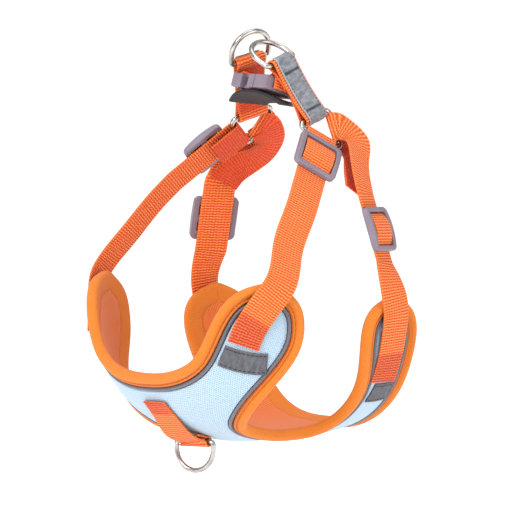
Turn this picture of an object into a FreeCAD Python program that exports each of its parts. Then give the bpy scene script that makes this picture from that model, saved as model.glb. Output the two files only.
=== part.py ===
import FreeCAD, Part
import Sketcher
import math
import os

# No pull dog harness, in millimetres. The origin is the middle of the dog's chest: +Z is up, +X is
# the dog's left and -Y is the dog's head. Soft pieces are plain closed solids in their worn shape.

Vector = FreeCAD.Vector

SIZES = {
    # the chest that the vest lies on, a superellipsoid
    "chest_half_width": 78.0, "chest_front": 85.0, "chest_rear": 105.0, "chest_depth": 85.0,
    "chest_roundness": 2.5,
    # vest layers, measured outward from the chest
    "lining_thickness": 2.4, "panel_thickness": 1.4, "layer_gap": 0.2,
    "piping_width": 2.3, "piping_height": 4.9, "roll_width": 7.6, "roll_height": 6.6,
    "patch_thickness": 0.8, "patch_width": 13.0,
    # webbing
    "webbing_width": 19.0, "webbing_thickness": 1.3, "webbing_clearance": 0.35,
    # bent wire rings
    "wire_diameter": 3.0, "strap_ring_side": 30.0, "strap_ring_bend": 3.0,
    "leash_ring_inside": 21.5, "leash_ring_leg": 5.0, "chest_ring_leg": 2.5, "ring_bend": 2.0,
    # tri-glide sliders
    "slider_length": 26.0, "slider_width": 26.5, "slider_edge": 2.8, "slider_crown": 4.4,
    "slider_window_length": 20.0, "slider_window_width": 20.2, "slider_corner": 3.2,
    "slider_bar_width": 4.0, "slider_bar_thickness": 2.2, "slider_edge_round": 0.8,
    # side release buckle
    "buckle_width": 26.0, "buckle_height": 8.0, "socket_length": 19.0, "socket_wall": 1.6,
    "plug_base_length": 11.0, "buckle_slot_width": 20.0, "buckle_slot_length": 3.6,
    "buckle_bar": 3.0, "arm_length": 14.0, "arm_width": 4.2, "arm_height": 4.2,
    "leaf_width": 16.0, "guide_width": 5.0, "guide_length": 10.0, "buckle_gap": 0.4, "buckle_edge_round": 0.9,
    # chest loop and back pad
    "tab_cover_thickness": 0.8, "tab_cover_width": 15.5, "back_pad_width": 23.0,
    "back_pad_thickness": 2.0,
}

doc = FreeCAD.newDocument("no_pull_harness")
sizes = doc.addObject("Spreadsheet::Sheet", "sizes")
for row, (alias, value) in enumerate(SIZES.items(), start=1):
    sizes.set("A%d" % row, alias)
    sizes.set("B%d" % row, str(value))
    sizes.setAlias("B%d" % row, alias)
doc.recompute()


def size(alias):
    """The value of one driving dimension, read from the sheet."""
    return float(getattr(sizes, alias))


SIDES = {"left": 1, "right": -1}
subparts = []


def keep(obj, label):
    """Name a sub-part and put it on the list of pieces that are written."""
    obj.Label = label
    subparts.append(obj)
    return obj


def bind(obj, expressions):
    """Bind properties of an object to expressions over the sheet's cells."""
    for prop, expression in expressions.items():
        obj.setExpression(prop, expression)
    return obj


def mirrored(vector, side):
    """A vector given for the dog's left side, on the side that is asked for."""
    return Vector(SIDES[side] * vector.x, vector.y, vector.z)


def unit(vector):
    return Vector(vector) / vector.Length


def lerp(start, end, part):
    return start + (end - start) * part


# ---------------------------------------------------------------- curves and the chest surface

def spline_through(points, count):
    """Evenly spaced points on a smooth curve through 3-D points."""
    curve = Part.BSplineCurve()
    curve.interpolate([Vector(*point) for point in points])
    edge = curve.toShape()
    return edge.discretize(Number=count)


def outline_points(pairs, count):
    """Evenly spaced (side angle, belly angle) pairs on a smooth curve through a few of them."""
    return [(p.x, p.y) for p in spline_through([(a, b, 0.0) for a, b in pairs], count)]


def chest_point(side_angle, belly_angle, lift):
    """A point over the chest. side_angle turns from the middle to the left flank; belly_angle
    turns from the breastbone (0) under the belly (90) to the back of the ribs (180)."""
    side, belly = math.radians(side_angle), math.radians(belly_angle)
    direction = Vector(math.sin(side), -math.cos(side) * math.cos(belly),
                       -math.cos(side) * math.sin(belly))
    return lifted(direction, lift)


def chest_radii(y):
    return (size("chest_half_width"), size("chest_front") if y < 0 else size("chest_rear"),
            size("chest_depth"))


def chest_normal(point):
    power = size("chest_roundness") - 1.0
    parts = [math.copysign(abs(c / r) ** power / r, c)
             for c, r in zip(point, chest_radii(point.y))]
    return unit(Vector(*parts))


def lifted(direction, lift):
    """The chest's surface point in a direction from its middle, raised along the normal."""
    power = size("chest_roundness")
    total = sum(abs(c / r) ** power for c, r in zip(direction, chest_radii(direction.y)))
    point = direction * (total ** (-1.0 / power))
    return point + chest_normal(point) * lift


# Half outlines of the outer panel, (side angle, belly angle) from the wing tip to the middle.
NECK_EDGE = [(56.0, 5.0), (49.0, 7.0), (42.6, 14.0), (37.0, 23.2), (29.6, 31.6), (17.0, 36.4),
             (0, 37.6)]
REAR_EDGE = [(61.5, 159.0), (55.4, 158.0), (51.0, 151.0), (43.6, 137.2), (32.2, 127.7),
             (19.0, 122.5), (0, 121.0)]
# The leg hole's edge, from the front wing tip under the belly to the rear wing tip.
LEG_EDGE = [(56.0, 5.0), (60.2, 13.0), (60.6, 25.0), (55.4, 37.6), (45.1, 43.7), (34.9, 48.0),
            (26.0, 53.6), (19.8, 60.5), (18.0, 70.0), (17.8, 88.0), (22.0, 102.0), (35.0, 112.5),
            (48.1, 120.5), (58.0, 127.5), (64.0, 137.0), (65.0, 149.0), (61.5, 159.0)]
ROWS, COLUMNS = 33, 41


def both_sides(half):
    """A half outline from the left tip to the middle, continued to the right tip."""
    return half + [(-a, b) for a, b in reversed(half[:-1])]


NECK_LINE = outline_points(both_sides(NECK_EDGE), COLUMNS)
REAR_LINE = outline_points(both_sides(REAR_EDGE), COLUMNS)
LEG_LINE = outline_points(LEG_EDGE, ROWS)


def first_place(column, row):
    """The Coons patch between the neck, rear and two leg hole outlines, as side + belly * i."""
    p, q = column / (COLUMNS - 1.0), row / (ROWS - 1.0)
    neck, rear, leg = [complex(*line[index]) for line, index in
                       ((NECK_LINE, column), (REAR_LINE, column), (LEG_LINE, row))]
    other_leg = complex(-leg.real, leg.imag)
    across, along = (1 - p) * leg + p * other_leg, (1 - q) * neck + q * rear
    tips = ((1 - p) * (1 - q) * complex(*NECK_LINE[0]) + p * (1 - q) * complex(*NECK_LINE[-1])
            + (1 - p) * q * complex(*REAR_LINE[0]) + p * q * complex(*REAR_LINE[-1]))
    return across + along - tips


EVEN_STEPS, SPREAD_STEPS = 120, 240


def spread(grid, column, row, even):
    """A better place for one inner point: the mean of its neighbours, or the place that keeps the
    grid's lines from crossing in the wings."""
    west, here, east = grid[column - 1], grid[column], grid[column + 1]
    sides, ends = east[row] + west[row], here[row + 1] + here[row - 1]
    if even:
        return (sides + ends) / 4
    across, along = (east[row] - west[row]) / 2, (here[row + 1] - here[row - 1]) / 2
    twist = (east[row + 1] - east[row - 1] - west[row + 1] + west[row - 1]) / 4
    shear = (across * along.conjugate()).real
    wide, tall = abs(across) ** 2, abs(along) ** 2
    return (tall * sides + wide * ends - 2 * shear * twist) / (2 * (wide + tall))


def vest_places():
    """(side angle, belly angle) of every grid point, the outlines' own points among them."""
    grid = [[first_place(column, row) for row in range(ROWS)] for column in range(COLUMNS)]
    for step in range(EVEN_STEPS + SPREAD_STEPS):
        for column in range(1, COLUMNS - 1):
            for row in range(1, ROWS - 1):
                grid[column][row] = spread(grid, column, row, step < EVEN_STEPS)
    return [[(place.real, place.imag) for place in line] for line in grid]


VEST_PLACES = vest_places()


# ---------------------------------------------------------------- soft solids

def grid_face(grid):
    surface = Part.BSplineSurface()
    surface.interpolate(grid)
    return surface.toShape()


FORWARD = 1  # the two edges of a ruled side run the same way


def solid_between(lower, upper):
    """A closed solid between two point grids of the same size: two smooth faces and four sides."""
    bottom, top = grid_face(lower), grid_face(upper)
    faces = [bottom, top]
    for edge, partner in zip(bottom.Edges, top.Edges):
        faces.append(Part.makeRuledSurface(edge, partner, FORWARD))
    shell = Part.Shell(faces)
    shell.sewShape()
    solid = Part.Solid(shell)
    if solid.Volume < 0:
        solid.reverse()
    return solid


def soft_piece(label, shape):
    piece = doc.addObject("Part::Feature", label)
    piece.Shape = shape
    return keep(piece, label)


def vest_layer(label, low, high):
    """One layer of the vest between two heights over the chest."""
    def grid(lift):
        return [[chest_point(side, belly, lift) for side, belly in line] for line in VEST_PLACES]
    return soft_piece(label, solid_between(grid(low), grid(high)))


def edge_strip(label, line, outward, start, width, profile):
    """A strip beside one of the vest's outlines. outward is +1 or -1 for the side that it lies
    on, start and width are measured from the outline, and profile lists (part of the width,
    lowest lift, highest lift)."""
    base = [chest_point(a, b, 0.0) for a, b in line]
    lower, upper = [], []
    for index, point in enumerate(base):
        ahead = base[min(index + 1, len(base) - 1)]
        behind = base[max(index - 1, 0)]
        normal = chest_normal(point)
        across = unit((ahead - behind).cross(normal)) * outward
        places = [point + across * (start + part * width) for part, _, _ in profile]
        lower.append([lifted(place, low) for place, (_, low, _) in zip(places, profile)])
        upper.append([lifted(place, high) for place, (_, _, high) in zip(places, profile)])
    return soft_piece(label, solid_between(lower, upper))


WIDTH_PARTS = (-0.5, -0.25, 0.0, 0.25, 0.5)
EDGE_REACH = 10.0


def stations(places, count):
    """Points and width directions along a smooth path through (point, width direction) places."""
    along = [0.0]
    for (start, _), (end, _) in zip(places, places[1:]):
        along.append(along[-1] + (end - start).Length)
    route, edge = Part.BSplineCurve(), Part.BSplineCurve()
    route.interpolate(Points=[place for place, _ in places], Parameters=along)
    edge.interpolate(Points=[place + across * EDGE_REACH for place, across in places],
                     Parameters=along)
    values = [along[-1] * index / (count - 1.0) for index in range(count)]
    return [(route.value(value), unit(edge.value(value) - route.value(value))) for value in values]


def straight(start, end, across, count):
    """Evenly spaced stations on a straight run, without its last point."""
    return [(lerp(start, end, index / float(count)), across) for index in range(count)]


def fold(centre, away, normal, radius, across, count=8):
    """Stations round a bar: from the outer side, over the side that faces away, to the inner."""
    angles = [math.pi * index / count for index in range(count + 1)]
    return [(centre + normal * (radius * math.cos(a)) + away * (radius * math.sin(a)), across)
            for a in angles]


def ribbon(path, width, thickness):
    """The two point grids of a webbing that follows a list of stations."""
    lower, upper = [], []
    for index, (point, across) in enumerate(path):
        ahead = path[min(index + 1, len(path) - 1)][0]
        behind = path[max(index - 1, 0)][0]
        tangent = unit(ahead - behind)
        flat = unit(across - tangent * across.dot(tangent))
        normal = flat.cross(tangent) * (thickness / 2)
        row = [point + flat * (part * width) for part in WIDTH_PARTS]
        lower.append([place - normal for place in row])
        upper.append([place + normal for place in row])
    return lower, upper


def on_side(grids, side):
    """Point grids given for the dog's left side, on the side that is asked for."""
    return [[[mirrored(point, side) for point in row] for row in grid] for grid in grids]


def both_pieces(label, grids):
    """The left piece from its two grids, and the right piece as its mirror image."""
    for side in SIDES:
        soft_piece("%s_%s" % (label, side), solid_between(*on_side(grids, side)))


def placement(origin, x_axis, z_axis):
    """A placement whose local X and Z lie along two given directions."""
    z_axis = unit(z_axis)
    x_axis = unit(x_axis - z_axis * x_axis.dot(z_axis))
    y_axis = z_axis.cross(x_axis)
    matrix = FreeCAD.Matrix(x_axis.x, y_axis.x, z_axis.x, origin.x,
                            x_axis.y, y_axis.y, z_axis.y, origin.y,
                            x_axis.z, y_axis.z, z_axis.z, origin.z, 0, 0, 0, 1)
    return FreeCAD.Placement(matrix)


# ---------------------------------------------------------------- vest

lining_top = size("lining_thickness")
panel_low = lining_top + size("layer_gap")
panel_top = panel_low + size("panel_thickness")

vest_layer("vest_lining", 0.0, lining_top)
vest_layer("vest_panel", panel_low, panel_top)

piping_start = 2 * size("layer_gap")
roll_start = piping_start + size("piping_width") + 2 * size("layer_gap")
piping_profile = [(0.0, 0.6, 4.2), (0.5, 0.6, size("piping_height")), (1.0, 0.6, 4.2)]
roll_profile = [(0.0, 0.0, 3.4), (0.2, 0.0, 5.8), (0.5, 0.0, size("roll_height")),
                (0.8, 0.0, 5.4), (1.0, 0.0, 2.4)]
RIGHT_LEG_LINE = [(-a, b) for a, b in LEG_LINE]
for name, line, outward in (("neck", NECK_LINE, 1), ("rear", REAR_LINE, -1),
                            ("leg_left", LEG_LINE, -1), ("leg_right", RIGHT_LEG_LINE, 1)):
    edge_strip(name + "_piping", line, outward, piping_start, size("piping_width"), piping_profile)
    edge_strip(name + "_roll", line, outward, roll_start, size("roll_width"), roll_profile)


def wing_patch(label, start, end):
    """A leather-like patch across both wings, between two (side angle, belly angle) places."""
    low = panel_top + size("layer_gap") / 2
    middle = low + size("patch_thickness") / 2
    places = [chest_point(*[lerp(s, e, part / 6.0) for s, e in zip(start, end)], middle)
              for part in range(7)]
    half_run = unit(places[-1] - places[0])
    path = [(place, unit(chest_normal(place).cross(half_run))) for place in places]
    both_pieces(label, ribbon(path, size("patch_width"), size("patch_thickness")))


wing_patch("front_patch", (34.0, 30.6), (46.8, 38.2))
wing_patch("rear_patch", (43.5, 119.5), (38.5, 130.5))

# ---------------------------------------------------------------- strap rings and their straps

WEB = size("webbing_width")
THICK = size("webbing_thickness")
FOLD_RADIUS = size("wire_diameter") / 2 + size("webbing_clearance") + THICK / 2
RING_CENTRE = Vector(32.0, 26.0, 90.2)
RING_OUT = unit(Vector(0.805, -0.01, 0.587))
RING_REAR = unit(Vector(0.1, 0.985, -0.12) - RING_OUT * Vector(0.1, 0.985, -0.12).dot(RING_OUT))
RING_UP = RING_OUT.cross(RING_REAR)
RING_INRADIUS = size("strap_ring_side") / (2 * math.sqrt(3))


def in_ring(angle):
    """A direction in the strap ring's plane, turned from its top towards the tail."""
    return RING_UP * math.cos(math.radians(angle)) + RING_REAR * math.sin(math.radians(angle))


def ring_bar(angle):
    """The middle of the ring's bar on that side, the way it faces and its own direction."""
    return RING_CENTRE + in_ring(angle) * RING_INRADIUS, in_ring(angle), in_ring(angle + 90)


TAB_TURN, FRONT_TURN, GIRTH_TURN = -30.0, -150.0, 90.0


def bent_rod(name, radius, length):
    rod = doc.addObject("Part::Cylinder", name)
    return bind(rod, {"Radius": radius, "Height": length})


def bent_corner(name, bend, radius, angle):
    """Part of a torus in the XY plane, from +X towards +Y."""
    corner = doc.addObject("Part::Torus", name)
    corner.Angle1, corner.Angle2 = -180, 180
    return bind(corner, {"Radius1": bend, "Radius2": radius, "Angle3": angle})


def wire_ring(label, pieces, at):
    ring = doc.addObject("Part::MultiFuse", label)
    ring.Shapes = pieces
    ring.Placement = at
    return keep(ring, label)


def strap_ring(side):
    """A rounded triangle of wire: three bars and three bends in the local XY plane."""
    wire = "sizes.wire_diameter / 2"
    side_length, bend = size("strap_ring_side"), size("strap_ring_bend")
    cut = bend * math.tan(math.radians(60))
    pieces = []
    for index in range(3):
        turn = 120.0 * index
        rod = bent_rod("strap_ring_bar_%s_%d" % (side, index), wire,
                       "sizes.strap_ring_side - 2 * sizes.strap_ring_bend * tan(60)")
        middle = FreeCAD.Rotation(Vector(0, 0, 1), turn)
        start = middle.multVec(Vector(-side_length / 2 + cut, RING_INRADIUS, 0))
        rod.Placement = FreeCAD.Placement(start, middle.multiply(
            FreeCAD.Rotation(Vector(0, 1, 0), 90)))
        corner = bent_corner("strap_ring_bend_%s_%d" % (side, index), "sizes.strap_ring_bend",
                             wire, "120")
        corner_centre = middle.multVec(Vector(side_length / 2 - cut, RING_INRADIUS - bend, 0))
        corner.Placement = FreeCAD.Placement(corner_centre,
                                             FreeCAD.Rotation(Vector(0, 0, 1), turn - 30))
        pieces += [rod, corner]
    up, out = mirrored(in_ring(TAB_TURN), side), mirrored(RING_OUT, side)
    at = placement(mirrored(RING_CENTRE, side), up.cross(out), out)
    return wire_ring("strap_ring_" + side, pieces, at)


def d_ring(label, inside, leg, at):
    """A D of bent wire: its bar lies along local X at the origin and its bow reaches along +Y."""
    wire, bend = "sizes.wire_diameter / 2", "sizes.ring_bend"
    half = size(inside) / 2 + size("wire_diameter") / 2
    bend_size, leg_size = size("ring_bend"), size(leg)
    half_text = "(sizes.%s + sizes.wire_diameter) / 2" % inside
    bar = bent_rod(label + "_bar", wire, "2 * (%s - sizes.ring_bend)" % half_text)
    bar.Placement = FreeCAD.Placement(Vector(bend_size - half, 0, 0),
                                      FreeCAD.Rotation(Vector(0, 1, 0), 90))
    pieces = [bar]
    for sign, turn in ((1, -90), (-1, 180)):
        corner = bent_corner("%s_bend_%d" % (label, turn), bend, wire, "90")
        corner.Placement = FreeCAD.Placement(Vector(sign * (half - bend_size), bend_size, 0),
                                             FreeCAD.Rotation(Vector(0, 0, 1), turn))
        arm = bent_rod("%s_arm_%d" % (label, turn), wire, "sizes." + leg)
        arm.Placement = FreeCAD.Placement(Vector(sign * half, bend_size, 0),
                                          FreeCAD.Rotation(Vector(1, 0, 0), -90))
        pieces += [corner, arm]
    bow = bent_corner(label + "_bow", half_text, wire, "180")
    bow.Placement = FreeCAD.Placement(Vector(0, bend_size + leg_size, 0), FreeCAD.Rotation())
    return wire_ring(label, pieces + [bow], at)


for side in SIDES:
    strap_ring(side)

# The front strap: sewn on the wing, over the roll, then straight through its slider to the ring.
front_bar, front_away, front_across = ring_bar(FRONT_TURN)
front_across = front_across * -1
SLIDER_DROP = 19.0
FRONT_STRAIGHT = 46.0
front_top = front_bar + RING_OUT * FOLD_RADIUS
front_split = front_top + front_away * FRONT_STRAIGHT
front_slider = front_top + front_away * SLIDER_DROP
sewn_lift = panel_top + size("layer_gap") + THICK / 2
roll_lift = size("roll_height") + 2 * size("layer_gap") + THICK / 2
wing_across = unit(Vector(0.37, 0.81, -0.44))
front_bend = Vector(71.5, -33.0, 26.0)
front_lower = [(chest_point(43.6, 25.6, sewn_lift + 1.2), wing_across),
               (chest_point(47.5, 18.5, sewn_lift + 0.6), wing_across),
               (chest_point(51.8, 11.0, sewn_lift + 1.8), wing_across),
               (chest_point(55.5, 3.0, roll_lift + 0.7), wing_across),
               (chest_point(58.5, -5.5, roll_lift + 1.0), unit(Vector(0.35, 0.84, -0.42))),
               (front_bend, unit(Vector(0.33, 0.84, -0.44))),
               (lerp(front_split, front_bend, 0.40) + RING_OUT * 1.0, front_across),
               (front_split + front_away * 1.0, front_across)]
both_pieces("front_strap_lower", ribbon(stations(front_lower, 34), WEB, THICK))


def folded_end(outer, centre, away, across, inner):
    """Webbing that comes in on the outer side, turns round a bar and goes back underneath."""
    path = outer + fold(centre, away * -1, RING_OUT, FOLD_RADIUS, across) + inner
    return ribbon(path, WEB, THICK)


def return_layer(centre, away, across, length, count):
    """The layer under the strap, from the fold back towards the slider."""
    start = centre - RING_OUT * FOLD_RADIUS
    return straight(start, start + away * length, across, count)[1:]


front_outer = straight(front_split - front_away * 0.3, front_top, front_across, 24)
front_inner = return_layer(front_bar, front_away, front_across, SLIDER_DROP, 12)
both_pieces("front_strap_upper",
            folded_end(front_outer, front_bar, front_away, front_across, front_inner))

# The girth strap: sewn on the rear wing, up the ribs through its slider, then back to the ring.
girth_bar, girth_away, girth_across = ring_bar(GIRTH_TURN)
girth_across = girth_across * -1
girth_bar = girth_bar + RING_UP * 0.6
GIRTH_DOWN = unit(Vector(0.308, 0.09, -0.947))
GIRTH_STRAIGHT = 42.0
girth_split = Vector(64.2, 30.2, 55.0)
girth_low = girth_split + GIRTH_DOWN * GIRTH_STRAIGHT
flank_across = unit(Vector(-0.05, 0.99, 0.078))
rib_across = unit(Vector(-0.40, 0.90, -0.045))
rib_out = rib_across.cross(GIRTH_DOWN * -1)
girth_slider = girth_split + GIRTH_DOWN * 23.0
girth_lower = [(chest_point(46.5, 126.0, sewn_lift + 1.0), flank_across),
               (chest_point(53.5, 134.5, sewn_lift + 1.4), flank_across),
               (chest_point(60.0, 147.0, sewn_lift + 2.8), flank_across),
               (chest_point(63.5, 160.0, roll_lift + 0.9), flank_across),
               (chest_point(65.5, 171.0, roll_lift + 0.8), flank_across),
               (girth_low, rib_across)]
girth_run = stations(girth_lower, 24) + straight(girth_low, girth_split, rib_across, 12)[1:]
both_pieces("girth_strap_lower", ribbon(girth_run, WEB, THICK))

girth_top = girth_bar + RING_OUT * FOLD_RADIUS


def girth_turn(part):
    """The girth strap's width direction on its way round from the ring to the ribs."""
    return unit(lerp(girth_across, rib_across, part))


girth_curve = [(girth_split - GIRTH_DOWN * 0.3, rib_across),
               (Vector(57.8, 32.6, 66.0), girth_turn(0.95)),
               (Vector(49.4, 38.0, 76.5), girth_turn(0.66)),
               (Vector(40.5, 41.5, 85.0), girth_turn(0.26)),
               (girth_top + girth_away * 1.5 + RING_OUT * 0.3, girth_across)]
girth_under = girth_bar - RING_OUT * FOLD_RADIUS
girth_back = [(girth_under + girth_away * 1.5 - RING_OUT * 0.4, girth_across),
              (Vector(34.6, 42.4, 79.6), girth_turn(0.12)),
              (Vector(42.8, 41.0, 70.6), girth_turn(0.58)),
              (Vector(53.0, 31.4, 62.5), girth_turn(0.95)),
              (girth_split - GIRTH_DOWN * 2.0 - rib_out * 6.0, rib_across)]
girth_path = (stations(girth_curve, 30)
              + fold(girth_bar, girth_away * -1, RING_OUT, FOLD_RADIUS, girth_across)
              + stations(girth_back, 30))
both_pieces("girth_strap_upper", ribbon(girth_path, WEB, THICK))

# ---------------------------------------------------------------- sliders


def plane_of(body, role):
    return [feature for feature in body.Origin.OriginFeatures if feature.Role == role][0]


def sketch_on(body, role, name):
    sketch = body.newObject("Sketcher::SketchObject", name)
    sketch.AttachmentSupport = (plane_of(body, role), [""])
    sketch.MapMode = "FlatFace"
    return sketch


def draw_rectangle(sketch, bounds):
    """A rectangle bound to four expressions: left, right, low and high."""
    corners = [Vector(-1, -1, 0), Vector(1, -1, 0), Vector(1, 1, 0), Vector(-1, 1, 0)]
    first = sketch.GeometryCount
    for start, end in zip(corners, corners[1:] + corners[:1]):
        sketch.addGeometry(Part.LineSegment(start, end), False)
    for index in range(4):
        sketch.addConstraint(Sketcher.Constraint("Coincident", first + index, 2,
                                                 first + (index + 1) % 4, 1))
    for index, kind in ((0, "Horizontal"), (2, "Horizontal"), (1, "Vertical"), (3, "Vertical")):
        sketch.addConstraint(Sketcher.Constraint(kind, first + index))
    left, right, low, high = bounds
    for kind, line, end, value, expression in (
            ("DistanceX", first, 1, -1, left), ("DistanceX", first, 2, 1, right),
            ("DistanceY", first, 1, -1, low), ("DistanceY", first + 2, 1, 1, high)):
        number = sketch.addConstraint(Sketcher.Constraint(kind, line, end, value))
        sketch.setExpression("Constraints[%d]" % number, expression)


def pad(body, sketch, name, length, both_ways=False):
    feature = body.newObject("PartDesign::Pad", name)
    feature.Profile = sketch
    feature.Midplane = both_ways
    return bind(feature, {"Length": length})


def pocket(body, sketch, name, length, both_ways=False):
    feature = body.newObject("PartDesign::Pocket", name)
    feature.Profile = sketch
    feature.Reversed = True
    feature.Midplane = both_ways
    return bind(feature, {"Length": length})


def round_edges(body, base, name, edges, radius):
    feature = body.newObject("PartDesign::Fillet", name)
    feature.Base = (base, edges)
    return bind(feature, {"Radius": radius})


def edges_where(shape, test):
    """The names of the edges whose middle point and length pass a test."""
    return ["Edge%d" % (index + 1) for index, edge in enumerate(shape.Edges)
            if test(edge.CenterOfMass, edge)]


def is_along(edge, axis):
    """True for a straight edge that runs along one axis, 0 for X, 1 for Y and 2 for Z."""
    if edge.Curve.TypeId != "Part::GeomLine":
        return False
    return abs(abs((edge.valueAt(edge.LastParameter) - edge.valueAt(edge.FirstParameter))[axis])
               - edge.Length) < 1e-6


def slider(label, at):
    """A crowned frame with one large window and a recessed bar across its middle."""
    body = doc.addObject("PartDesign::Body", label)
    side_view = sketch_on(body, "XZ_Plane", label + "_side")
    half, edge, crown = size("slider_length") / 2, size("slider_edge"), size("slider_crown")
    outline = [Part.LineSegment(Vector(-half, 0, 0), Vector(half, 0, 0)),
               Part.LineSegment(Vector(half, 0, 0), Vector(half, edge, 0)),
               Part.Arc(Vector(half, edge, 0), Vector(0, crown, 0), Vector(-half, edge, 0)),
               Part.LineSegment(Vector(-half, edge, 0), Vector(-half, 0, 0))]
    side_view.addGeometry(outline, False)
    for index in range(4):
        follower = (index + 1) % 4
        side_view.addConstraint(Sketcher.Constraint("Coincident", index, 2, follower, 1))
    side_view.addConstraint(Sketcher.Constraint("Horizontal", 0))
    side_view.addConstraint(Sketcher.Constraint("Vertical", 1))
    side_view.addConstraint(Sketcher.Constraint("Vertical", 3))
    for kind, line, point, value, expression in (
            ("DistanceX", 0, 1, -half, "-sizes.slider_length / 2"),
            ("DistanceX", 0, 2, half, "sizes.slider_length / 2"),
            ("DistanceY", 0, 1, 0.0, None),
            ("DistanceY", 1, 2, edge, "sizes.slider_edge"),
            ("DistanceY", 3, 1, edge, "sizes.slider_edge")):
        number = side_view.addConstraint(Sketcher.Constraint(kind, line, point, value))
        if expression:
            side_view.setExpression("Constraints[%d]" % number, expression)
    radius = (half ** 2 + (crown - edge) ** 2) / (2 * (crown - edge))
    number = side_view.addConstraint(Sketcher.Constraint("Radius", 2, radius))
    rise = "(sizes.slider_crown - sizes.slider_edge)"
    side_view.setExpression("Constraints[%d]" % number,
                            "(pow(sizes.slider_length / 2; 2) + pow(%s; 2)) / (2 * %s)" % (rise, rise))
    pad(body, side_view, label + "_block", "sizes.slider_width", both_ways=True)
    opening = sketch_on(body, "XY_Plane", label + "_opening")
    draw_rectangle(opening, ("-sizes.slider_window_length / 2", "sizes.slider_window_length / 2",
                             "-sizes.slider_window_width / 2", "sizes.slider_window_width / 2"))
    frame = pocket(body, opening, label + "_window", "2 * sizes.slider_crown", both_ways=True)
    doc.recompute()
    corners = edges_where(frame.Shape, lambda c, e: is_along(e, 2) and abs(c.x) > half - 0.5)
    corner_round = round_edges(body, frame, label + "_corners", corners, "sizes.slider_corner")
    doc.recompute()
    window_corners = edges_where(corner_round.Shape, lambda c, e: is_along(e, 2)
                                 and abs(abs(c.y) - size("slider_window_width") / 2) < 0.1)
    window_round = round_edges(body, corner_round, label + "_window_corners", window_corners,
                               "sizes.slider_edge_round * 1.5")
    doc.recompute()
    rim = edges_where(window_round.Shape, lambda c, e: c.z > edge * 0.9 and e.Length > 1.0)
    face_round = round_edges(body, window_round, label + "_rim", rim, "sizes.slider_edge_round")
    doc.recompute()
    bar = sketch_on(body, "XY_Plane", label + "_bar_outline")
    draw_rectangle(bar, ("-sizes.slider_bar_width / 2", "sizes.slider_bar_width / 2",
                         "-sizes.slider_window_width / 2 - 0.5", "sizes.slider_window_width / 2 + 0.5"))
    body.Tip = pad(body, bar, label + "_bar", "sizes.slider_bar_thickness")
    body.Placement = at
    return keep(body, label)


WRAP_LIFT = 0.3
slider_floor = THICK / 2 + size("webbing_clearance")


def slider_with_wrap(name, side, middle, along, out):
    """A slider on its strap, and the strap's end that wraps over the slider's bar."""
    origin = middle + out * slider_floor
    at = placement(mirrored(origin, side), mirrored(along, side), mirrored(out, side))
    slider("%s_slider_%s" % (name, side), at)
    reach = size("slider_window_length") / 2 - 0.6
    top = size("slider_bar_thickness") + THICK / 2 + WRAP_LIFT + 0.9
    low = THICK / 2 + WRAP_LIFT
    across = unit(out.cross(along))
    humps = [(-1.0, low), (-0.75, lerp(low, top, 0.45)), (-0.4, lerp(low, top, 0.9)), (0.0, top),
             (0.4, lerp(low, top, 0.9)), (0.75, lerp(low, top, 0.45)), (1.0, low)]
    path = stations([(origin + along * (part * reach) + out * lift, across)
                     for part, lift in humps], 21)
    wrap = solid_between(*on_side(ribbon(path, WEB, THICK), side))
    soft_piece("%s_slider_wrap_%s" % (name, side), wrap)


for side in SIDES:
    slider_with_wrap("front", side, front_slider, front_away, RING_OUT)
    slider_with_wrap("girth", side, girth_slider, GIRTH_DOWN, rib_out)

# ---------------------------------------------------------------- tabs and leash rings

LEASH_BAR = Vector(14.0, 10.2, 128.0)
LEASH_ACROSS = unit(Vector(-0.2, 0.95, 0.24))
LEASH_AWAY = unit(Vector(-0.80, -0.30, 0.52))
tab_bar, tab_away, tab_across = ring_bar(TAB_TURN)
tab_rise = unit(LEASH_BAR - tab_bar)
tab_out = unit(tab_across.cross(tab_rise))
if tab_out.x < 0:
    tab_out = tab_out * -1
leash_out = unit(tab_out - LEASH_ACROSS * tab_out.dot(LEASH_ACROSS))
LEAF_GAP = THICK + 0.35
tab_middle_across = unit(tab_across + LEASH_ACROSS)


def tab_route(offset):
    """The outer leaf of a tab, from the strap ring to the leash ring, at a distance outside."""
    radius = FOLD_RADIUS + offset
    return [(tab_bar + tab_out * radius + tab_rise * 0.5, tab_across),
            (lerp(tab_bar, LEASH_BAR, 0.22) + tab_out * (radius - 0.9), tab_across),
            (lerp(tab_bar, LEASH_BAR, 0.50) + tab_out * (radius - 1.2), tab_middle_across),
            (lerp(tab_bar, LEASH_BAR, 0.78) + tab_out * (radius - 0.7), LEASH_ACROSS),
            (LEASH_BAR + leash_out * radius - tab_rise * 0.5, LEASH_ACROSS)]


def inner_leaf(part):
    """A place on the inner leaf, close under the outer one."""
    return lerp(tab_bar, LEASH_BAR, part) + tab_out * (FOLD_RADIUS - 1.0 - LEAF_GAP)


tab_low_end = stations([(inner_leaf(0.42), tab_middle_across), (inner_leaf(0.3), tab_across),
                        (tab_bar - tab_out * FOLD_RADIUS + tab_rise * 0.5, tab_across)], 8)
tab_low_fold = fold(tab_bar, tab_rise * -1, tab_out, FOLD_RADIUS, tab_across)
tab_high_fold = fold(LEASH_BAR, tab_rise, leash_out, FOLD_RADIUS, LEASH_ACROSS)
tab_high_end = stations([(LEASH_BAR - leash_out * FOLD_RADIUS - tab_rise * 0.5, LEASH_ACROSS),
                         (inner_leaf(0.72), LEASH_ACROSS), (inner_leaf(0.56), tab_middle_across)], 8)
tab_path = (tab_low_end + tab_low_fold[::-1] + stations(tab_route(0.0), 20)
            + tab_high_fold + tab_high_end)
both_pieces("tab_webbing", ribbon(tab_path, WEB, THICK))

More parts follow.
